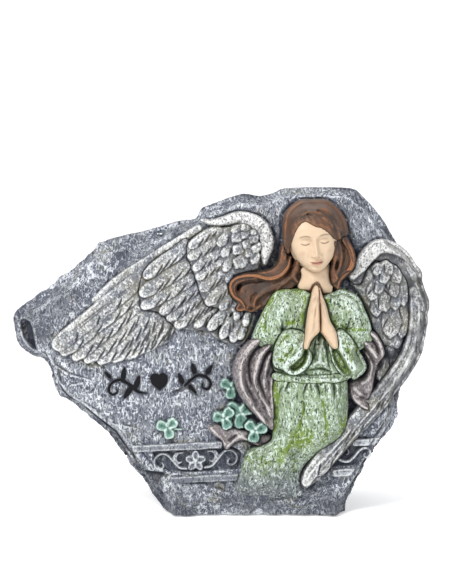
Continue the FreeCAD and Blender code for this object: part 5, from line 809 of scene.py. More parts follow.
# what lies under another piece ends at that piece's seat
tops = np.argmax(np.stack([layers[n].D for n in layers]), axis=0)
names_ = list(layers)
for t_, tn in enumerate(names_):
    if tn == "rock":
        continue
    here = tops == t_
    for nm_, L in layers.items():
        if nm_ in ("rock", tn):
            continue
        both = here & (L.D > NO + 1)
        if both.any():
            seat = BACKS.get(tn, -2.0) - .15
            L.D = np.where(both, np.where(seat > BACKS.get(nm_, -2.0) + 1.0, np.minimum(L.D, seat), NO), L.D)
TOP, INK_AND_SHADE, HI, MIX = compose(list(layers))
layers_top = np.argmax(np.stack([layers[n].D for n in layers]), axis=0)
FILLED = np.where(TOP < -29, -14.0, TOP)
# dark wash and painted shade: hollows, folds and the stone round each piece are painted darker, from blurs of the
# composed height
WASH_AND_SHADE = 0.72 * np.clip((blur(FILLED, 0.8) - FILLED) / 0.6, 0, 1) + 0.34 * np.clip((blur(FILLED, 2.4) - FILLED) / 2.8, 0, 1) + 0.14 * np.clip((blur(FILLED, 7.0) - FILLED) / 7.0, 0, 1)
RDG = np.clip((FILLED - blur(FILLED, 0.9)) / 0.45, 0, 1)
WASH_AND_SHADE = np.where(layers_top == 0, WASH_AND_SHADE * np.clip((-sR - .2) / 2.8, .12, 1), WASH_AND_SHADE)
WASH_AND_SHADE = WASH_AND_SHADE * (1 - .85 * RIMS)
near_hem = np.exp(-(np.clip(np.abs(sdf(SKIRT, GX, GZ)), 0, 20) / 4.5) ** 2) * np.clip((44 - GZ) / 18, 0, 1)
WASH_AND_SHADE = WASH_AND_SHADE * (1 - 0.65 * near_hem)
CONV = np.clip((FILLED - blur(FILLED, 3.5)) / 2.2, 0, 1)


def sample(a, x, z):
    fx = np.clip((x - X0) / H, 0, NX - 1.001); fz = np.clip((z - Z0) / H, 0, NZ - 1.001)
    i, k = fx.astype(int), fz.astype(int); u, v = fx - i, fz - k
    return (a[i, k] * (1 - u) + a[i + 1, k] * u) * (1 - v) + (a[i, k + 1] * (1 - u) + a[i + 1, k + 1] * u) * v


def mesh_object(name, verts, quads, tris=None, smooth=True):
    """verts in mm (x, y, z)."""
    me = bpy.data.meshes.new(name)
    nq, nt = len(quads), 0 if tris is None else len(tris)
    me.vertices.add(len(verts)); me.vertices.foreach_set("co", (np.asarray(verts, np.float32) * 0.001).ravel())
    me.loops.add(nq * 4 + nt * 3)
    idx = np.asarray(quads, np.int32).ravel()
    starts = np.arange(nq, dtype=np.int32) * 4; tot = np.full(nq, 4, np.int32)
    if nt:
        idx = np.concatenate([idx, np.asarray(tris, np.int32).ravel()])
        starts = np.concatenate([starts, nq * 4 + np.arange(nt, dtype=np.int32) * 3]); tot = np.concatenate([tot, np.full(nt, 3, np.int32)])
    me.loops.foreach_set("vertex_index", idx)
    me.polygons.add(nq + nt)
    me.polygons.foreach_set("loop_start", starts); me.polygons.foreach_set("loop_total", tot)
    me.update(calc_edges=True)
    me.validate()
    me.polygons.foreach_set("use_smooth", np.full(len(me.polygons), smooth))
    ob = bpy.data.objects.new(name, me)
    bpy.context.scene.collection.objects.link(ob)
    return ob


def paint_attr(ob, cav, ink_and_shade, hi, mix, name="paint"):
    at = ob.data.attributes.new(name, "FLOAT_COLOR", "POINT")
    at.data.foreach_set("color", np.stack([cav, ink_and_shade, hi, mix], -1).astype(np.float32).ravel())


def level_mesh(f, org, step):
    """Closed mesh of f < 0 on a grid; org and step per axis in mm. Quads wound outwards."""
    g = openvdb.FloatGrid(5.0)
    g.copyFromArray(f.astype(np.float32))
    p, t, q = g.convertToPolygons(isovalue=0.0, adaptivity=0.0)
    return p * np.array(step) + np.array(org), q


def keep_main(p, q, least=0.02):
    """Drops crumbs: connected bits with few points."""
    par = np.arange(len(p))
    e = np.concatenate([q[:, [0, 1]], q[:, [1, 2]], q[:, [2, 3]]])
    for _ in range(60):
        m = np.minimum(par[e[:, 0]], par[e[:, 1]])
        new = par.copy()
        np.minimum.at(new, e[:, 0], m); np.minimum.at(new, e[:, 1], m)
        new = new[new]
        if (new == par).all():
            break
        par = new
    root, cnt = np.unique(par, return_counts=True)
    good = root[cnt > least * len(p)]
    keepv = np.isin(par, good)
    remap = -np.ones(len(p), int); remap[keepv] = np.arange(keepv.sum())
    q = q[keepv[q].all(1)]
    return p[keepv], remap[q]


def vert_normals(p, q):
    a, b, c, d = (p[q[:, i]] for i in range(4))
    n = np.cross(c - a, d - b)
    out = np.zeros_like(p)
    for i in range(4):
        np.add.at(out, q[:, i], n)
    return out / (np.linalg.norm(out, axis=1, keepdims=True) + 1e-12)


def extended(D):
    """The height carried smoothly past the outline."""
    m = (D > NO + 1).astype(float)
    v = np.where(m > 0, D, 0.0)
    for s in (0.5, 1.2, 3.0):
        w = blur(m, s); e = blur(v, s) / np.maximum(w, 1e-4)
        hole = (m < 0.5) & (w > 0.02)
        v = np.where(hole, e, v); m = np.where(hole, 1.0, m)
    return v


def sdf_mask(m):
    """Rough inside distance of a mask, mm, negative inside."""
    d = np.zeros(m.shape); cur = m.astype(float)
    for s in (.5, .9, 1.4, 2.0):
        d = np.maximum(d, np.where(m, (np.clip(blur(m.astype(float), s), .5, 1) - .5) * 2 * s * 1.1, 0))
    return -d


def relax(p, q, w, times=8, k=.55):
    """Pulls points towards their neighbours, each by its own weight."""
    e = np.concatenate([q[:, [0, 1]], q[:, [1, 2]], q[:, [2, 3]], q[:, [3, 0]]])
    n = len(p)
    cnt = np.bincount(e[:, 0], minlength=n) + np.bincount(e[:, 1], minlength=n)
    for _ in range(times):
        avg = np.stack([np.bincount(e[:, 0], p[e[:, 1], a], n) + np.bincount(e[:, 1], p[e[:, 0], a], n) for a in range(3)], -1) / np.maximum(cnt, 1)[:, None]
        p = p + (avg - p) * (k * w)[:, None]
    return p


def relief(name, back, hy=0.45, least=0.02, under=0.0):
    """One carved piece: its height map in front, a flat seat at depth back behind."""
    L = layers[name]
    m = L.D > NO + 1
    ii, kk = np.where(m)
    i0, i1, k0, k1 = max(ii.min() - 4, 0), min(ii.max() + 5, NX), max(kk.min() - 4, 0), min(kk.max() + 5, NZ)
    E = extended(L.D)
    soft = 0.45 if name.startswith(("frieze", "clover", "engraving", "left_wing")) else 0.85
    S = (0.5 - blur(m.astype(float), soft)) * 2.5 * soft
    S = np.clip(S, -0.6, 0.6)
    if under:
        S = np.where(m, -np.minimum(2.2, -sdf_mask(m)), S)
    Ew, Sw = E[i0:i1, k0:k1], S[i0:i1, k0:k1]
    ga, gb = np.gradient(Ew, H)
    nrm = np.sqrt(1 + ga * ga + gb * gb)
    dmax = L.D[m].max() + 1.4
    ds = np.arange(back - 1.4, dmax, hy)             # depths, back to front
    dd = ds[None, :, None]
    side_in = np.clip(Ew[:, None, :] - 1.6 - dd, 0, 9) * under
    f = np.maximum(np.maximum((dd - Ew[:, None, :]) / nrm[:, None, :], Sw[:, None, :] + side_in), back - dd)
    f = np.clip(f, -3, 3)[:, ::-1, :]                 # index order along +y
    p, q = level_mesh(f, (gx[i0], YF - ds[-1], gz[k0]), (H, hy, H))
    p, q = keep_main(p, q, least)
    n = vert_normals(p, q)
    d = YF - p[:, 1]
    h = sample(E, p[:, 0], p[:, 2])
    wgt = np.clip((-n[:, 1] - 0.25) / 0.4, 0, 1) * (d > back + 0.5) * np.clip((1.8 - np.abs(h - d)) / .8, 0, 1)
    wgt = relax(np.stack([wgt, wgt, wgt], -1), q, np.ones(len(p)), 4, .6)[:, 0] * (wgt > .02)
    p[:, 1] = YF - (d * (1 - wgt) + h * wgt)
    p = relax(p, q, (1 - wgt) ** .7, 14, .6)
    d = YF - p[:, 1]
    ob = mesh_object(name, p, q)
    side = np.clip((h - d - 0.8) / 3.0, 0, 1) * (1 - wgt)        # down the side of a tall piece: painted shade, darker further below the top
    own = (layers_top == list(layers).index(name)) & m
    own = own if own.any() else m
    own = own.astype(float)
    w1, w3 = blur(own, .5), blur(own, 1.6)

    def inside(F):
        near = np.where(w1 > .08, blur(F * own, .5) / np.maximum(w1, .08), blur(F * own, 1.6) / np.maximum(w3, .02))
        G = np.where(own > 0, F, near)
        return sample(G, p[:, 0], p[:, 2]) * wgt + sample(near, p[:, 0], p[:, 2]) * (1 - wgt)
    # painted shade: the composed hollows, more down the sides of tall pieces and on every wall
    cav = inside(WASH_AND_SHADE) * (.45 + .55 * wgt) + 0.30 * side + .12 * (1 - wgt)
    paint_attr(ob, np.clip(cav, 0, 1.5), inside(L.ink_and_shade), inside(L.hi + 0.5 * RDG + 0.3 * CONV) * (.3 + .7 * wgt), inside(L.mix))
    return ob


def lattice_noise(p, size, seed):
    """Smooth 3D noise in -1..1 at points p."""
    tab = np.random.RandomState(seed).rand(32, 32, 32) * 2 - 1
    c = p / size + 100.0
    i = np.floor(c).astype(int); f = c - i; f = f * f * (3 - 2 * f)
    i0, i1 = i % 32, (i + 1) % 32
    out = 0
    for a in (0, 1):
        for b in (0, 1):
            for g in (0, 1):
                w = (f[:, 0] if a else 1 - f[:, 0]) * (f[:, 1] if b else 1 - f[:, 1]) * (f[:, 2] if g else 1 - f[:, 2])
                out = out + w * tab[(i1 if a else i0)[:, 0], (i1 if b else i0)[:, 1], (i1 if g else i0)[:, 2]]
    return out


def stone_piece():
    st = 0.8
    xs = np.arange(-133.4, 133.6, st); zs = np.arange(-0.6, 202.8, st); ys = np.arange(-36.0, 60.0, st)
    X, Z = xs[:, None], zs[None, :]
    wide = smooth_pts(ROCK, 3, True)
    wide = np.where(wide[:, 1:] > 1.6, wide * 1.025 - np.array([.06, 3.2]), wide)
    wide[:, 1] = np.maximum(wide[:, 1], 1.2)
    sRk, sBk = sdf(wide, X, Z), sdf(BACKO, X, Z)
    R = layers["rock"]
    E = extended(R.D)
    Dr = sample(E, *np.broadcast_arrays(X, Z))
    ga, gb = np.gradient(Dr, st)
    nr = np.sqrt(1 + ga * ga + gb * gb)
    poc = sdf(POCKET, X, Z)
    f = np.empty((len(xs), len(ys), len(zs)), np.float32)
    fall = [(-40, 260), (15, 260), (15, 187), (28, 160), (50, 138), (90, 126), (90, -20), (-40, -20)]
    yl = ys - YF                                       # local depth behind the face
    fallv = sdf(fall, yl[:, None], zs[None, :])
    for j, y in enumerate(yl):
        if y < 14:
            s = sRk
        elif y < 26:
            s = sRk + 1.2 * (y - 14) / 12
        elif y < 36:
            t = 0.75 * (y - 26) / 10; s = (sRk + 1.2) * (1 - t) + sBk * t
        elif y < 60:
            t = 0.75 + 0.25 * (y - 36) / 24; s = (sRk + 1.2) * (1 - t) + sBk * t
        else:
            s = sBk + (2.2 * (y - 60) / 16 if y < 76 else 2.2 + 2.6 * (y - 76) / 4)
        v = np.maximum(s, (-y - Dr) / nr)
        v = np.maximum(v, y - 80.0)
        v = np.maximum(v, 1.25 - Z)
        if y > 74:
            v = np.maximum(v, 1.25 + (y - 74) * 0.6 - Z)
        v = np.maximum(v, fallv[j][None, :])
        pk = np.maximum(np.maximum(poc + 0.6 * max(0.0, y - 60) / 12, 10.0 - y), y - 72.5)
        v = np.maximum(v, -pk)
        f[:, j, :] = np.clip(v, -3, 3)
    def drill(cx, cy, r, za, zb):
        m = np.hypot(xs[:, None] - cx, ys[None, :] - (cy + YF))[:, :, None] - r
        c = np.maximum(m, np.maximum(za - zs, zs - zb)[None, None, :])
        np.maximum(f, -np.clip(c, -3, 3), out=f)
    drill(20.0, 40.0, 6.5, -5, 30); drill(20.0, 40.0, 10.2, -5, 5.4)
    for px, py in ((-20, -2), (62, -2), (-12, 68), (56, 68)):
        drill(px, py, 6.5, -5, 2.7)
    p, q = level_mesh(f, (xs[0], ys[0], zs[0]), (st, st, st))
    p, q = keep_main(p, q)
    n = vert_normals(p, q)
    d = YF - p[:, 1]
    h = sample(E, p[:, 0], p[:, 2])
    front = np.clip((-n[:, 1] - 0.2) / 0.35, 0, 1) * (d > -14.5) * (np.abs(h - d) < 2.5)
    p[:, 1] = YF - (d * (1 - front) + h * front)
    # rough cast stone everywhere else
    pocket_in = (sample(np.where(sdf(POCKET, GX, GZ) < 2, 1.0, 0.0), p[:, 0], p[:, 2]) > 0.5) & (d < -9) & (d > -73.5) & (p[:, 2] > 12)
    rough = (1 - front) * np.where(pocket_in, 0.35, 1.0) * np.clip((p[:, 2] - 1.6) / 3, 0, 1)
    hole = np.hypot(p[:, 0] - 20, p[:, 1] - (40 + YF)) < 12
    seat = np.zeros(len(p))
    for px, py in ((-20, -2), (62, -2), (-12, 68), (56, 68)):
        seat = np.maximum(seat, np.clip((7.1 - np.hypot(p[:, 0] - px, p[:, 1] - (py + YF))) / .4, 0, 1) * (p[:, 2] < 3.4))
    rough = rough * np.where(hole & (p[:, 2] < 20), 0, 1) * np.clip((-11.0 - d) / 5 + 0.15, 0.15, 1)
    big3 = lattice_noise(p, 17, 5) * 1.5 + lattice_noise(p, 8, 6) * 1.0 + lattice_noise(p * np.array([1, 1, 2.6]), 4.2, 7) * 0.7 + lattice_noise(p, 2.0, 8) * 0.25
    hmap = big3 * rough
    p = p + n * np.clip(hmap, -2.0, 1.1)[:, None]
    p[:, 2] = np.maximum(p[:, 2], 1.2)
    lowf = np.clip((4.5 - p[:, 2]) / 3.3, 0, 1) * np.clip((d + 6) / 8, 0, 1)
    p[:, 2] = p[:, 2] - 0.85 * lowf * (0.8 + 0.2 * lattice_noise(p, 7.0, 12)) * (1 - seat)
    ob = mesh_object("stone_slab", p, q)
    ns = lattice_noise(p, 3.0, 9)
    # hollows of the rough stone darker (wash), and the planter pocket painted dark inside: painted shade
    c3 = np.clip(-big3 / 2.2, 0, 1) * rough + 0.45 * pocket_in
    cav = sample(WASH_AND_SHADE, p[:, 0], p[:, 2]) * front + c3 * (1 - front)
    ink_and_shade = sample(R.ink_and_shade, p[:, 0], p[:, 2]) * np.maximum(front, (d > -12) * 1.0)
    hi = (sample(R.hi, p[:, 0], p[:, 2]) + 0.55 * sample(RDG, p[:, 0], p[:, 2])) * front + np.clip(big3 / 2.0, 0, 1) * rough * 0.6
    # the notch is dark inside: painted shade, carried by the dark map of the face
    mx = sample(R.mix, p[:, 0], p[:, 2]) * front
    paint_attr(ob, np.clip(cav, 0, 1.5), ink_and_shade, hi, mx)
    return ob

def head_piece():
    st = 0.3
    us, vs, ws = np.arange(-17, 17.1, st), np.arange(-23.4, 23.5, st), np.arange(-8.7, 19, st)
    U, Vv = us[:, None], vs[None, :]
    au = np.abs(U)
    a = np.interp(Vv, [-21.2, -20.4, -18.5, -16, -12, -7, -2, 4, 10, 15, 18.5, 20.6, 21.4], [0.3, 3.4, 6.2, 8.6, 11.4, 13.4, 14.2, 14.4, 13.8, 11.6, 8.4, 4.4, 0.3])
    c = np.interp(Vv, [-21.2, -20.2, -18, -14, -9, -4, 0, 4, 9, 14, 18, 21.4], [4.6, 8.6, 11.0, 12.2, 12.6, 12.6, 12.3, 12.6, 12.0, 9.6, 6.4, 0.5])
    r = np.clip(au / a, 0, 1)
    W = c * (1 - r ** 2.5) ** 0.5
    W = np.where(au < a, W, -1.6 * (au - a))
    G = lambda x, s: np.exp(-(x / s) ** 2)
    ex = 5.9
    W = W + 0.55 * G(Vv - 4.2, 1.7) * G(au - 5.0, 4.0)
    W = W - 2.1 * G(au - ex, 3.3) * G(Vv - 0.5, 2.6) - 1.0 * G(au - 2.0, 1.4) * G(Vv - 0.6, 2.6)
    W = W + 2.1 * G(au - ex, 2.45) * G(Vv - 0.05, 1.6)
    lash = -1.25 + 0.115 * (au - ex) ** 2
    on = np.clip((2.75 - np.abs(au - ex)) / 0.5, 0, 1)
    W = W - 0.42 * G(Vv - lash, 0.30) * on
    W = W - 0.22 * G(Vv - (1.75 - 0.11 * (au - ex) ** 2), 0.35) * np.clip((2.9 - np.abs(au - ex)) / 0.8, 0, 1)
    nose = np.interp(Vv, [-10.3, -9.6, -8.9, -8.0, -6.6, -4, -1.5, 1, 3.5], [0, 1.1, 3.6, 4.5, 4.2, 3.0, 2.1, 1.2, 0.0])
    nw = np.interp(Vv, [-10, -8.2, -6, -2, 3], [2.2, 2.0, 1.5, 1.3, 1.7])
    W = W + nose * np.exp(-(au / nw) ** 2)
    W = W + 1.5 * G(au - 2.3, 0.9) * G(Vv + 8.6, 1.0)
    W = W - 0.45 * G(au - 1.15, 0.5) * G(Vv + 9.75, 0.35)
    W = W + 0.8 * G(U, 5.2) * G(Vv + 13.0, 3.6) - 0.22 * G(U, 0.6) * G(Vv + 11.2, 1.0)
    mline = -13.35 + 0.026 * U * U
    W = W + 1.0 * G(Vv - (-12.55 + 0.02 * U * U - 0.18 * G(U, 0.7)), 0.72) * np.clip((4.1 - au) / 1.8, 0, 1)
    W = W + 1.25 * G(Vv - (-14.35 + 0.05 * U * U), 0.85) * np.clip((3.6 - au) / 1.9, 0, 1)
    W = W - 0.62 * G(Vv - mline, 0.27) * np.clip((4.3 - au) / 0.9, 0, 1) - 0.35 * G(au - 4.3, 0.7) * G(Vv - mline, 0.7)
    W = W - 0.5 * G(Vv + 16.3, 0.9) * G(U, 3.6) + 1.0 * G(U, 3.3) * G(Vv + 18.7, 1.9)
    W = W + 0.85 * G(au - 7.6, 3.3) * G(Vv + 6.2, 3.7) - 0.35 * G(au - 4.6, 1.0) * G(Vv + 9.5, 2.6)
    ga, gb = np.gradient(W, st)
    nr = np.sqrt(1 + ga * ga + gb * gb)
    f = np.maximum((ws[None, None, :] - W[:, :, None]) / nr[:, :, None], -ws - 7.6)
    f = np.maximum(f, np.sqrt((us[:, None, None] / 14.6) ** 2 + ((vs[None, :, None]) / 21.6) ** 2 + (np.minimum(ws, 0) / 9.0)[None, None, :] ** 2) * 12 - 12.6)
    p, q = level_mesh(np.clip(f, -2, 2), (us[0], vs[0], ws[0]), (st, st, st))
    p, q = keep_main(p, q)
    fi = np.clip((p[:, 0] - us[0]) / st, 0, len(us) - 1.001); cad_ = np.clip((p[:, 1] - vs[0]) / st, 0, len(vs) - 1.001)
    i, k = fi.astype(int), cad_.astype(int); x, y = fi - i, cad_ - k
    h = (W[i, k] * (1 - x) + W[i + 1, k] * x) * (1 - y) + (W[i, k + 1] * (1 - x) + W[i + 1, k + 1] * x) * y
    n = vert_normals(p, q)
    wg = np.clip((n[:, 2] - 0.2) / 0.3, 0, 1) * (p[:, 2] > 0.5)
    p[:, 2] = p[:, 2] * (1 - wg) + h * wg
    # paint
    u, v = p[:, 0], p[:, 1]; au = np.abs(u)
    front = np.clip(n[:, 2] * 2, 0, 1)
    lash = -1.25 + 0.115 * (au - ex) ** 2
    ink_and_shade = G(v - (lash - 0.05), 0.30) * np.clip((2.9 - np.abs(au - ex)) / 0.7, 0, 1) * 0.95
    brow_v = 4.55 - 0.075 * (au - 5.4) ** 2 + 0.06 * (au - 5.4)
    ink_and_shade = np.maximum(ink_and_shade, 0.72 * G(v - brow_v, 0.42 * (1.2 - 0.1 * np.abs(au - 5.0))) * np.clip((3.6 - np.abs(au - 5.9)) / 1.2, 0, 1))
    ink_and_shade = np.maximum(ink_and_shade, 0.85 * G(v - (-13.38 + 0.026 * u * u), 0.24) * np.clip((4.2 - au) / 1.0, 0, 1))
    # nostrils painted dark: painted shade
    ink_and_shade = np.maximum(ink_and_shade, 0.55 * G(au - 1.2, 0.45) * G(v + 9.85, 0.3))
    ink_and_shade = np.maximum(ink_and_shade, 0.18 * G(v - (1.75 - 0.11 * (au - ex) ** 2), 0.3) * np.clip((2.9 - np.abs(au - ex)) / 0.8, 0, 1))
    lips = np.clip((3.9 - au) / 1.2, 0, 1) * np.clip(1.3 - np.abs(v - (-13.5 + 0.03 * u * u)) / 1.35, 0, 1)
    blush = 0.34 * G(au - 8.0, 3.4) * G(v + 6.6, 3.2) + 0.12 * G(u, 1.6) * G(v + 8, 1.6) + 0.2 * G(u, 3) * G(v + 19, 1.6)
    mix = np.clip(np.maximum(np.clip(lips, 0, 1) * 0.95, blush), 0, 1)
    # painted shade: eye sockets, under the nose, under the lower lip, beside the nose, and darker towards the edge of
    # the face
    cav = 0.32 * G(au - ex, 3.2) * G(v - 2.5, 1.3) + 0.14 * G(au - ex, 3.0) * G(v + 2.4, 1.0) + 0.35 * G(v + 10.1, 0.5) * G(u, 2.0) + 0.32 * G(v + 16.3, 0.8) * G(u, 2.8) + 0.3 * G(au - 3.3, 0.8) * G(v + 8.3, 1.6) + 0.22 * G(au - 1.9, 0.8) * G(v + 3.0, 4.5) + 0.3 * G(au - 2.6, 1.4) * G(v - 1.0, 2.2)
    edge = np.clip((au / np.interp(v, [-21, -18, -12, -2, 8, 20], [3, 6.5, 11.4, 14.2, 14.2, 6]) - 0.82) / 0.18, 0, 1)
    cav = cav + 0.5 * edge
    # to the frame: pitch down, slight turn and tilt
    loc = np.stack([p[:, 0], -p[:, 2], p[:, 1]], -1)     # x right, y away, z up
    R3 = np.array(Matrix.Rotation(math.radians(-6.0), 3, "Y") @ Matrix.Rotation(math.radians(2.0), 3, "Z") @ Matrix.Rotation(math.radians(10.0), 3, "X"))
    loc = (loc * np.array([1.0, .97, .92])) @ R3.T + np.array([55.3, YF - 14.4, 170.2])
    # under the hair the head draws back
    for nm_ in ("hair_crown",):
        L = layers[nm_]; m_ = (L.D > NO + 1) * 1.0
        cover = np.clip((sample(blur(m_, .5), loc[:, 0], loc[:, 2]) - .45) / .3, 0, 1)
        top_ = sample(np.where(m_ > 0, L.D, 0), loc[:, 0], loc[:, 2])
        lim = YF - (top_ - 1.6)
        cover = cover * np.clip((loc[:, 2] - 168) / 4, 0, 1)
        loc[:, 1] = np.where((cover > 0) & (loc[:, 1] < lim), loc[:, 1] * (1 - cover) + lim * cover, loc[:, 1])
    ob = mesh_object("head", loc, q)
    paint_attr(ob, np.clip(cav, 0, 1), ink_and_shade * front, np.zeros(len(p)), mix * front)
    return ob


def turned(name, prof, cx, cy, n=48, cav=0.2):
    """Surface of revolution about a vertical axis; prof = (r, z) from the axis round to the axis."""
    v = []; qs = []; ts = []
    ring = []
    for r, z in prof:
        if r < 1e-6:
            ring.append([len(v)]); v.append((cx, cy, z))
        else:
            ring.append(list(range(len(v), len(v) + n)))
            v += [(cx + r * math.cos(2 * math.pi * k / n), cy + r * math.sin(2 * math.pi * k / n), z) for k in range(n)]
    for a, b in zip(ring, ring[1:]):
        for k in range(n):
            k2 = (k + 1) % n
            if len(a) == 1:
                ts.append((a[0], b[k2], b[k]))
            elif len(b) == 1:
                ts.append((a[k], a[k2], b[0]))
            else:
                qs.append((a[k], a[k2], b[k2], b[k]))
    return v, qs, ts


def joined(name, parts):
    V, Q, T = [], [], []
    for v, q, t in parts:
        o = len(V); V += list(v); Q += [tuple(i + o for i in f) for f in q]; T += [tuple(i + o for i in f) for f in t]
    ob = mesh_object(name, V, Q, T)
    n = len(V)
    paint_attr(ob, np.full(n, .25), np.zeros(n), np.full(n, .3), np.zeros(n))
    return ob


# ============ D. materials ============
class Nodes:
    def __init__(self, name):
        self.m = bpy.data.materials.new(name); self.m.use_nodes = True
        self.t = self.m.node_tree; self.t.nodes.clear()
        self.out = self.t.nodes.new("ShaderNodeOutputMaterial")
        self.b = self.t.nodes.new("ShaderNodeBsdfPrincipled")
        self.t.links.new(self.b.outputs[0], self.out.inputs[0])
        co = self.t.nodes.new("ShaderNodeTexCoord")
        mp = self.t.nodes.new("ShaderNodeMapping"); mp.inputs["Scale"].default_value = (1000, 1000, 1000)
        self.t.links.new(co.outputs["Object"], mp.inputs["Vector"])
        self.co = mp.outputs[0]
        at = self.t.nodes.new("ShaderNodeAttribute"); at.attribute_name = "paint"
        sp = self.t.nodes.new("ShaderNodeSeparateColor"); self.t.links.new(at.outputs["Color"], sp.inputs[0])
        self.cav, self.ink_and_shade, self.hi, self.mix = sp.outputs[0], sp.outputs[1], sp.outputs[2], at.outputs["Alpha"]

    def link(self, a, b):
        if isinstance(a, (int, float)):
            b.default_value = a
        elif isinstance(a, (tuple, list)):
            b.default_value = tuple(a) + ((1,) if len(a) == 3 and len(b.default_value) == 4 else ())
        else:
            self.t.links.new(a, b)

    def math(self, op, a, b=0.0, c=0.0, clamp=False):
        n = self.t.nodes.new("ShaderNodeMath"); n.operation = op; n.use_clamp = clamp
        self.link(a, n.inputs[0]); self.link(b, n.inputs[1]); self.link(c, n.inputs[2])
        return n.outputs[0]

    def ramp(self, v, lo, hi, a=0.0, b=1.0):
        n = self.t.nodes.new("ShaderNodeMapRange"); n.interpolation_type = "SMOOTHSTEP"
        self.link(v, n.inputs["Value"])
        for k, x in (("From Min", lo), ("From Max", hi), ("To Min", a), ("To Max", b)):
            n.inputs[k].default_value = x
        return n.outputs[0]

    def mixc(self, f, a, b):
        n = self.t.nodes.new("ShaderNodeMix"); n.data_type = "RGBA"
        self.link(f, n.inputs[0]); self.link(a, n.inputs[6]); self.link(b, n.inputs[7])
        return n.outputs[2]

    def scaled(self, s, off=(0, 0, 0)):
        mp = self.t.nodes.new("ShaderNodeMapping"); mp.inputs["Scale"].default_value = s; mp.inputs["Location"].default_value = off
        self.t.links.new(self.co, mp.inputs["Vector"])
        return mp.outputs[0]

    def noise(self, size, detail=3.0, rough=0.55, stretch=(1, 1, 1), off=(0, 0, 0), dist=0.0):
        n = self.t.nodes.new("ShaderNodeTexNoise"); n.inputs["Scale"].default_value = 1.0 / size
        n.inputs["Detail"].default_value = detail; n.inputs["Roughness"].default_value = rough; n.inputs["Distortion"].default_value = dist
        self.t.links.new(self.scaled(stretch, off), n.inputs["Vector"])
        return n.outputs[0]

    def cells(self, size, feature="DISTANCE_TO_EDGE", warp=0.0, stretch=(1, 1, 1), rand=1.0):
        n = self.t.nodes.new("ShaderNodeTexVoronoi"); n.feature = feature; n.inputs["Scale"].default_value = 1.0 / size
        n.inputs["Randomness"].default_value = rand
        v = self.scaled(stretch)
        if warp:
            w = self.t.nodes.new("ShaderNodeTexNoise"); w.inputs["Scale"].default_value = 0.45 / size; w.inputs["Detail"].default_value = 2.0
            self.t.links.new(self.co, w.inputs["Vector"])
            ad = self.t.nodes.new("ShaderNodeVectorMath"); ad.operation = "MULTIPLY_ADD"
            self.t.links.new(w.outputs["Color"], ad.inputs[0]); ad.inputs[1].default_value = (warp,) * 3
            self.t.links.new(v, ad.inputs[2]); v = ad.outputs[0]
        self.t.links.new(v, n.inputs["Vector"])
        return n.outputs[0]

    def bump(self, h, strength, dist):
        n = self.t.nodes.new("ShaderNodeBump"); n.inputs["Strength"].default_value = strength; n.inputs["Distance"].default_value = dist * 0.001
        self.link(h, n.inputs["Height"])
        self.t.links.new(n.outputs[0], self.b.inputs["Normal"])


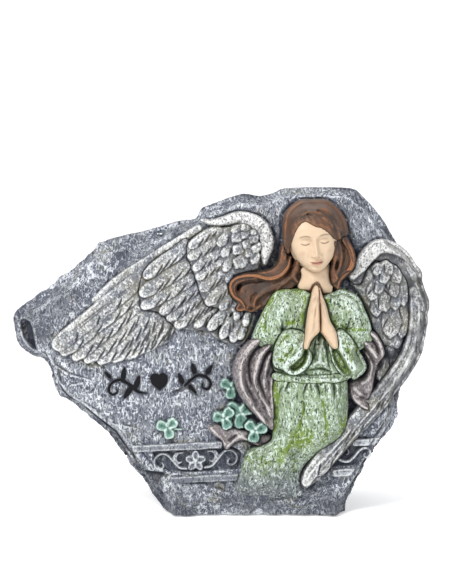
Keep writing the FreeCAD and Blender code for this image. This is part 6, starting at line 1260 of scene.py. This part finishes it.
def painted(name, base, dark, light, low=None, base2=None, fleck=(.02, .022, .03), fleck_amt=0.5, fleck_size=1.1, fleck_lo=0.60, fleck_st=(1.25, 1.25, .62), dry=1.0, dry_lo=0.35, dry_hi=0.85,
            veins=0.0, vein_size=3.2, vein_freq=2.6, wash_shade_amt=1.0, rough=0.7, bump=0.35, spec=0.3, pale=0.0, warm=None, light_noise=0.8, low_noise=0.5, mix_fleck=0.0, ground=None):
    """Resin paint: body colour, second colour by mask, dry brush on the ridges, dark wash and painted shade in the
    hollows and round the pieces, specks.
    """
    N = Nodes(name)
    n_big, n_mid, n_fine = N.noise(13, 3), N.noise(3.6, 4, .6), N.noise(1.25, 3, .6)
    col = base
    if base2 is not None:
        col = N.mixc(N.ramp(n_big, .38, .62), col, base2)
    if warm is not None:
        wm = N.math("MULTIPLY", N.ramp(N.noise(16, 2, .5, off=(31, 7, 11)), .50, .66), N.ramp(N.math("ADD", N.cav, .12), .05, .5), clamp=True)
        col = N.mixc(N.math("MULTIPLY", wm, .7), col, warm)
    if low is not None:
        jit = N.math("MULTIPLY_ADD", N.math("SUBTRACT", n_mid, .5), low_noise * 2, N.mix)
        lowm = N.ramp(jit, .18, .62)
        col = N.mixc(lowm, col, low)
    # dry brush: raised edges first, then a grainy veil
    src = N.math("MULTIPLY_ADD", N.hi, .55 * dry, N.math("MULTIPLY", N.math("SUBTRACT", n_fine, .5), light_noise))
    src = N.math("ADD", src, N.math("MULTIPLY", N.math("SUBTRACT", n_mid, .5), light_noise * .9))
    src = N.math("ADD", src, N.math("MULTIPLY_ADD", N.math("SUBTRACT", N.noise(36, 2, .5, off=(7, 3, 21)), .5), light_noise * .6, pale))
    if veins:
        # thin wandering lines: level lines of a noise field, thick in some places and gone in others
        f1 = N.math("PINGPONG", N.math("MULTIPLY", N.noise(vein_size, 2.5, .5, dist=.35, off=(3, 1, 8), stretch=(1, 1, .75)), vein_freq), .5)
        f2 = N.math("PINGPONG", N.math("MULTIPLY", N.noise(vein_size * .6, 1.5, .5, dist=.5, off=(13, 5, 2), stretch=(1.2, 1.2, .6)), vein_freq * .62), .5)
        where = N.ramp(N.noise(9, 2, .5, off=(2, 17, 5)), .36, .62)
        net = N.math("MAXIMUM", N.math("MULTIPLY", N.ramp(f1, .02, .13, 1.0, 0.0), N.math("MULTIPLY_ADD", where, .6, .4)), N.math("MULTIPLY", N.ramp(f2, .015, .12, 1.0, 0.0), .8))
        src = N.math("ADD", src, N.math("MULTIPLY", net, veins))
    dmask = N.math("SUBTRACT", N.ramp(src, dry_lo, dry_hi), N.math("MULTIPLY", N.cav, .9), clamp=True)
    col = N.mixc(dmask, col, light)
    # dark wash and painted shade: hollows, grooves and the sides of tall pieces painted dark
    w = N.math("MULTIPLY_ADD", N.cav, 1.0 * wash_shade_amt, N.math("MULTIPLY", N.math("SUBTRACT", n_mid, .5), .5))
    w = N.math("MAXIMUM", N.ramp(w, .12, 1.0), N.math("MULTIPLY", N.ink_and_shade, 1.0), clamp=True)
    col = N.mixc(w, col, dark)
    if fleck_amt:
        fl = N.noise(fleck_size, 1.5, .5, stretch=fleck_st, off=(5, 9, 3), dist=.3)
        fl = N.math("MULTIPLY_ADD", N.math("SUBTRACT", n_big, .5), .12, fl)
        if mix_fleck:
            fl = N.math("MULTIPLY_ADD", N.mix, mix_fleck, fl)
        fm = N.math("MULTIPLY", N.ramp(fl, fleck_lo, fleck_lo + .10), fleck_amt, clamp=True)
        col = N.mixc(fm, col, fleck)
    if ground is not None:
        # the colour runs out into bare stone near the foot
        sp = N.t.nodes.new("ShaderNodeSeparateXYZ"); N.t.links.new(N.co, sp.inputs[0])
        zz = N.math("MULTIPLY_ADD", N.math("SUBTRACT", n_mid, .5), 26.0, sp.outputs[2])
        g = N.ramp(zz, ground[0], ground[1], 1.0, 0.0)
        stone = N.mixc(N.math("MULTIPLY", N.ramp(src, dry_lo, dry_hi), 1.0), (.165, .18, .20), (.62, .66, .69))
        stone = N.mixc(N.math("MAXIMUM", w, fm if fleck_amt else 0.0, clamp=True), stone, (.03, .033, .05))
        col = N.mixc(N.math("MULTIPLY", g, .85), col, stone)
    N.link(col, N.b.inputs["Base Color"])
    N.b.inputs["Roughness"].default_value = rough
    N.b.inputs["Specular IOR Level"].default_value = spec
    hgt = N.math("ADD", N.math("MULTIPLY", n_fine, .7), N.math("MULTIPLY", n_mid, .5))
    if fleck_amt:
        hgt = N.math("SUBTRACT", hgt, N.math("MULTIPLY", fm, .8))
    if veins:
        hgt = N.math("ADD", hgt, N.math("MULTIPLY", net, .8))
    N.bump(hgt, bump, .5)
    return N.m


MAT = {
    "stone": painted("stone_paint", (.115, .128, .165), (.018, .021, .034), (.66, .69, .74), base2=(.215, .23, .265), warm=(.24, .225, .13), veins=.80, vein_size=4.0, vein_freq=3.2, fleck=(.035, .04, .06), fleck_amt=.85, fleck_size=1.5, fleck_lo=.545, fleck_st=(1.35, 1.35, .60), dry=1.0, dry_lo=.15, dry_hi=.78, pale=.0, bump=.6),
    "wing": painted("feather_paint", (.195, .195, .185), (.014, .016, .022), (.74, .75, .75), base2=(.145, .158, .19), low=(.40, .40, .39), warm=(.28, .25, .15), veins=.45, vein_size=2.5, fleck=(.05, .052, .06), fleck_amt=.7, fleck_size=1.25, fleck_lo=.57, fleck_st=(1.1, 1.1, .9), mix_fleck=.06, dry=.95, dry_lo=.12, dry_hi=.80, pale=.08, bump=.5),
    "robe": painted("robe_paint", (.235, .315, .185), (.028, .046, .020), (.64, .735, .685), low=(.165, .25, .04), base2=(.275, .355, .24), veins=.80, vein_size=2.9, fleck=(.025, .042, .024), fleck_amt=.95, fleck_size=1.2, fleck_lo=.552, dry=.7, dry_lo=.10, dry_hi=.80, pale=.04, bump=.5, ground=(16, 42)),
    "mantle": painted("mantle_paint", (.165, .14, .145), (.022, .018, .022), (.56, .52, .52), base2=(.215, .19, .20), veins=.60, vein_size=2.6, fleck=(.025, .022, .028), fleck_amt=.85, fleck_size=1.3, fleck_lo=.57, dry_lo=.2, dry_hi=.9, pale=.02, bump=.5),
    "hair": painted("hair_paint", (.120, .064, .040), (.016, .010, .008), (.36, .15, .062), base2=(.066, .044, .035), fleck_amt=0, dry_lo=.26, dry_hi=.95, light_noise=.6, wash_shade_amt=.7, rough=.45, bump=.15),
    "skin": painted("skin_paint", (.60, .455, .32), (.075, .036, .022), (.66, .53, .40), low=(.44, .225, .165), fleck_amt=0, wash_shade_amt=.9, dry=0, pale=0, light_noise=.1, dry_lo=.5, dry_hi=1, rough=.45, bump=.02, spec=.25, low_noise=.06),
    "clover": painted("clover_paint", (.085, .19, .15), (.01, .025, .02), (.56, .70, .65), base2=(.13, .26, .22), veins=.2, fleck=(.02, .05, .04), fleck_amt=.5, fleck_size=1.1, fleck_lo=.58, dry_lo=.2, dry_hi=.9, pale=.06, rough=.5, bump=.3),
    "frieze": painted("frieze_paint", (.20, .215, .24), (.022, .024, .034), (.60, .63, .66), base2=(.15, .16, .19), veins=.3, fleck=(.04, .045, .06), fleck_amt=.75, fleck_size=1.2, fleck_lo=.56, dry_lo=.2, dry_hi=1.0, pale=.0, bump=.45),
    "enamel": painted("enamel_paint", (.009, .009, .011), (.003, .003, .004), (.03, .03, .034), fleck_amt=0, dry_lo=.6, dry_hi=1.0, rough=.65, bump=.1, spec=.1),
    "rubber": painted("rubber_black", (.02, .02, .02), (.006, .006, .006), (.06, .06, .06), fleck_amt=0, dry_lo=.6, dry_hi=1.0, rough=.8, bump=.15),
}

# ============ E. assembly ============
def put(ob, mat, nodes, body="planter"):
    ob.data.materials.clear(); ob.data.materials.append(MAT[mat])
    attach(ob, body)
    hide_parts(*nodes)
    return ob


st = stone_piece()
if len(st.data.polygons) * 2 > 190000:
    md = st.modifiers.new("thin", "DECIMATE"); md.ratio = 190000 / (len(st.data.polygons) * 2)
    dg = bpy.context.evaluated_depsgraph_get()
    me = bpy.data.meshes.new_from_object(st.evaluated_get(dg), preserve_all_data_layers=True, depsgraph=dg)
    st.modifiers.clear(); st.data = me
put(st, "stone", ["rock_planter"])
PIECES = [("hand_left", "skin", "skin"), ("hand_right", "skin", "skin"), ("sleeve_left", "robe", "robe"), ("sleeve_right", "robe", "robe"), ("sash", "robe", "robe"), ("neck", "skin", "skin"),
          ("hair_crown", "hair", "hair"), ("hair_lock_right", "hair", "hair"), ("hair_lock_left", "hair", "hair"), ("right_wing_primaries", "wing", "wing"), ("right_wing_coverts", "wing", "wing"),
          ("right_wing_secondaries", "wing", "wing"), ("bodice", "robe", "robe"), ("skirt", "robe", "robe"), ("mantle_left", "mantle", "mantle"), ("mantle_right", "mantle", "mantle"), ("mantle_end", "mantle", "mantle"),
          ("left_wing_arm", "wing", "wing"), ("left_wing_coverts", "wing", "wing"), ("left_wing_secondaries", "wing", "wing"), ("left_wing_primaries", "wing", "wing"),
          ("clover_front", "clover", "clover_green"), ("clover_left", "clover", "clover_green"), ("clover_back", "clover", "clover_green"), ("clover_upper", "clover", "clover_green"), ("clover_single", "clover", "clover_green"),
          ("frieze_upper_rail", "frieze", "stone_trim"), ("frieze_lower_rail", "frieze", "stone_trim"), ("frieze_rosette", "frieze", "stone_trim"), ("frieze_scrolls", "frieze", "stone_trim"),
          ("engraving_inlay", "enamel", "black_enamel")]
for nm, mat, slot in PIECES:
    o = relief(nm, BACKS.get(nm, -2.0), least=0.0 if nm.startswith(("frieze", "clover", "engraving")) else 0.02, under=.3 if nm.startswith("clover") else 0.0)
    print(nm, len(o.data.polygons))
    o.name = "fig_" + nm; o.data.name = o.name
    put(o, mat, [nm])
hd = head_piece(); hd.name = "fig_head"
put(hd, "skin", ["head"])
pads = []
for px, py in ((-20, -2), (62, -2), (-12, 68), (56, 68)):
    pads.append(turned("pad", [(0, 0), (4.9, 0), (5.6, .25), (6.0, .8), (6.0, 2.2), (0, 2.2)][::-1], px, py + YF))
put(joined("rubber_pads", pads), "rubber", ["bumper_pads"])
pz = 2.1
plug = [turned("plug", [(0, pz), (7.6, pz), (8.6, pz + .3), (9.0, pz + 1.0), (8.6, pz + 1.8), (8.0, pz + 2.0), (6.3, pz + 2.0), (5.94, pz + 2.4), (5.94, 12.0), (5.6, 14.4), (5.0, 15.0), (3.0, 15.0), (2.6, 14.6), (2.6, 8.0), (0, 8.0)][::-1], 20, 40 + YF)]
# a half-loop pull tab with a rounded section
tv, tq = [], []
for a in range(17):
    th = math.pi * a / 16
    cx_, cz_ = 3.0 * math.cos(th), -0.9 * math.sin(th)
    for b in range(10):
        ph = 2 * math.pi * b / 10
        tv.append((20 + cx_ + 0.45 * math.cos(ph) * math.cos(th), 40 + YF + 1.1 * math.sin(ph), pz + .35 + cz_ + 0.3 * math.cos(ph) * -math.sin(th)))
for a in range(16):
    for b in range(10):
        b2 = (b + 1) % 10
        tq.append((a * 10 + b, a * 10 + b2, (a + 1) * 10 + b2, (a + 1) * 10 + b))
plug.append((tv, tq, []))
put(joined("rubber_plug", plug), "rubber", ["drain_plug"], "drain_plug")

# ---- stage ----
def stage_sweep():
    v, q = [], []
    prof = [(-1.6, -.00006), (0.9, -.00006), (1.15, .02), (1.35, .09), (1.5, .2), (1.6, .36), (1.64, .6), (1.65, 2.6)]
    for y, z in prof:
        v += [(-2600.0, y * 1000, z * 1000), (2600.0, y * 1000, z * 1000)]
    for k in range(len(prof) - 1):
        q.append((2 * k, 2 * k + 1, 2 * k + 3, 2 * k + 2))
    ob = mesh_object("studio_sweep", v, q)
    N = Nodes("sweep_paint")
    N.link(N.mixc(N.ramp(N.noise(600, 2), .3, .7), (.90, .90, .905), (.92, .92, .92)), N.b.inputs["Base Color"])
    N.b.inputs["Roughness"].default_value = .9
    N.b.inputs["Emission Color"].default_value = (1, 1, 1, 1); N.b.inputs["Emission Strength"].default_value = .30
    ob.data.materials.append(N.m)


stage_sweep()


def lamp(name, loc, target, size, power, col=(1, 1, 1)):
    d = bpy.data.lights.new(name, "AREA"); d.shape = "RECTANGLE"; d.size, d.size_y = size; d.energy = power; d.color = col
    o = bpy.data.objects.new(name, d); bpy.context.scene.collection.objects.link(o)
    o.location = loc
    o.rotation_euler = (Vector(target) - Vector(loc)).to_track_quat("-Z", "Y").to_euler()


lamp("key", (-.55, -.75, .85), (0, 0, .09), (.4, .4), 10.5, (1, .99, .97))
lamp("fill", (.75, -.7, .35), (0, 0, .09), (.7, .7), 2.6, (.96, .98, 1))
lamp("top", (.05, .1, 1.1), (0, 0, .1), (.9, .7), 3.2)
w = bpy.data.worlds.new("studio"); w.use_nodes = True
w.node_tree.nodes["Background"].inputs[0].default_value = (1, 1, 1, 1); w.node_tree.nodes["Background"].inputs[1].default_value = .55
bpy.context.scene.world = w
bpy.context.scene.view_settings.view_transform = "Standard"

cam = bpy.data.cameras.new("camera"); co_ = bpy.data.objects.new("camera", cam); bpy.context.scene.collection.objects.link(co_)
cam.lens, cam.sensor_width, cam.clip_start, cam.clip_end = 90, 36, .05, 20
AIM = Vector((.0026, -.025, .1374)); ELEV = math.radians(3.0)
dist = .35859 * 90 / 36
co_.location = AIM + Vector((0, -math.cos(ELEV), math.sin(ELEV))) * dist
co_.rotation_euler = (AIM - co_.location).to_track_quat("-Z", "Y").to_euler()
bpy.context.scene.camera = co_

for nm in list(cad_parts):
    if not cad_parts[nm].hide_render:
        print("CAD node still shown:", nm)
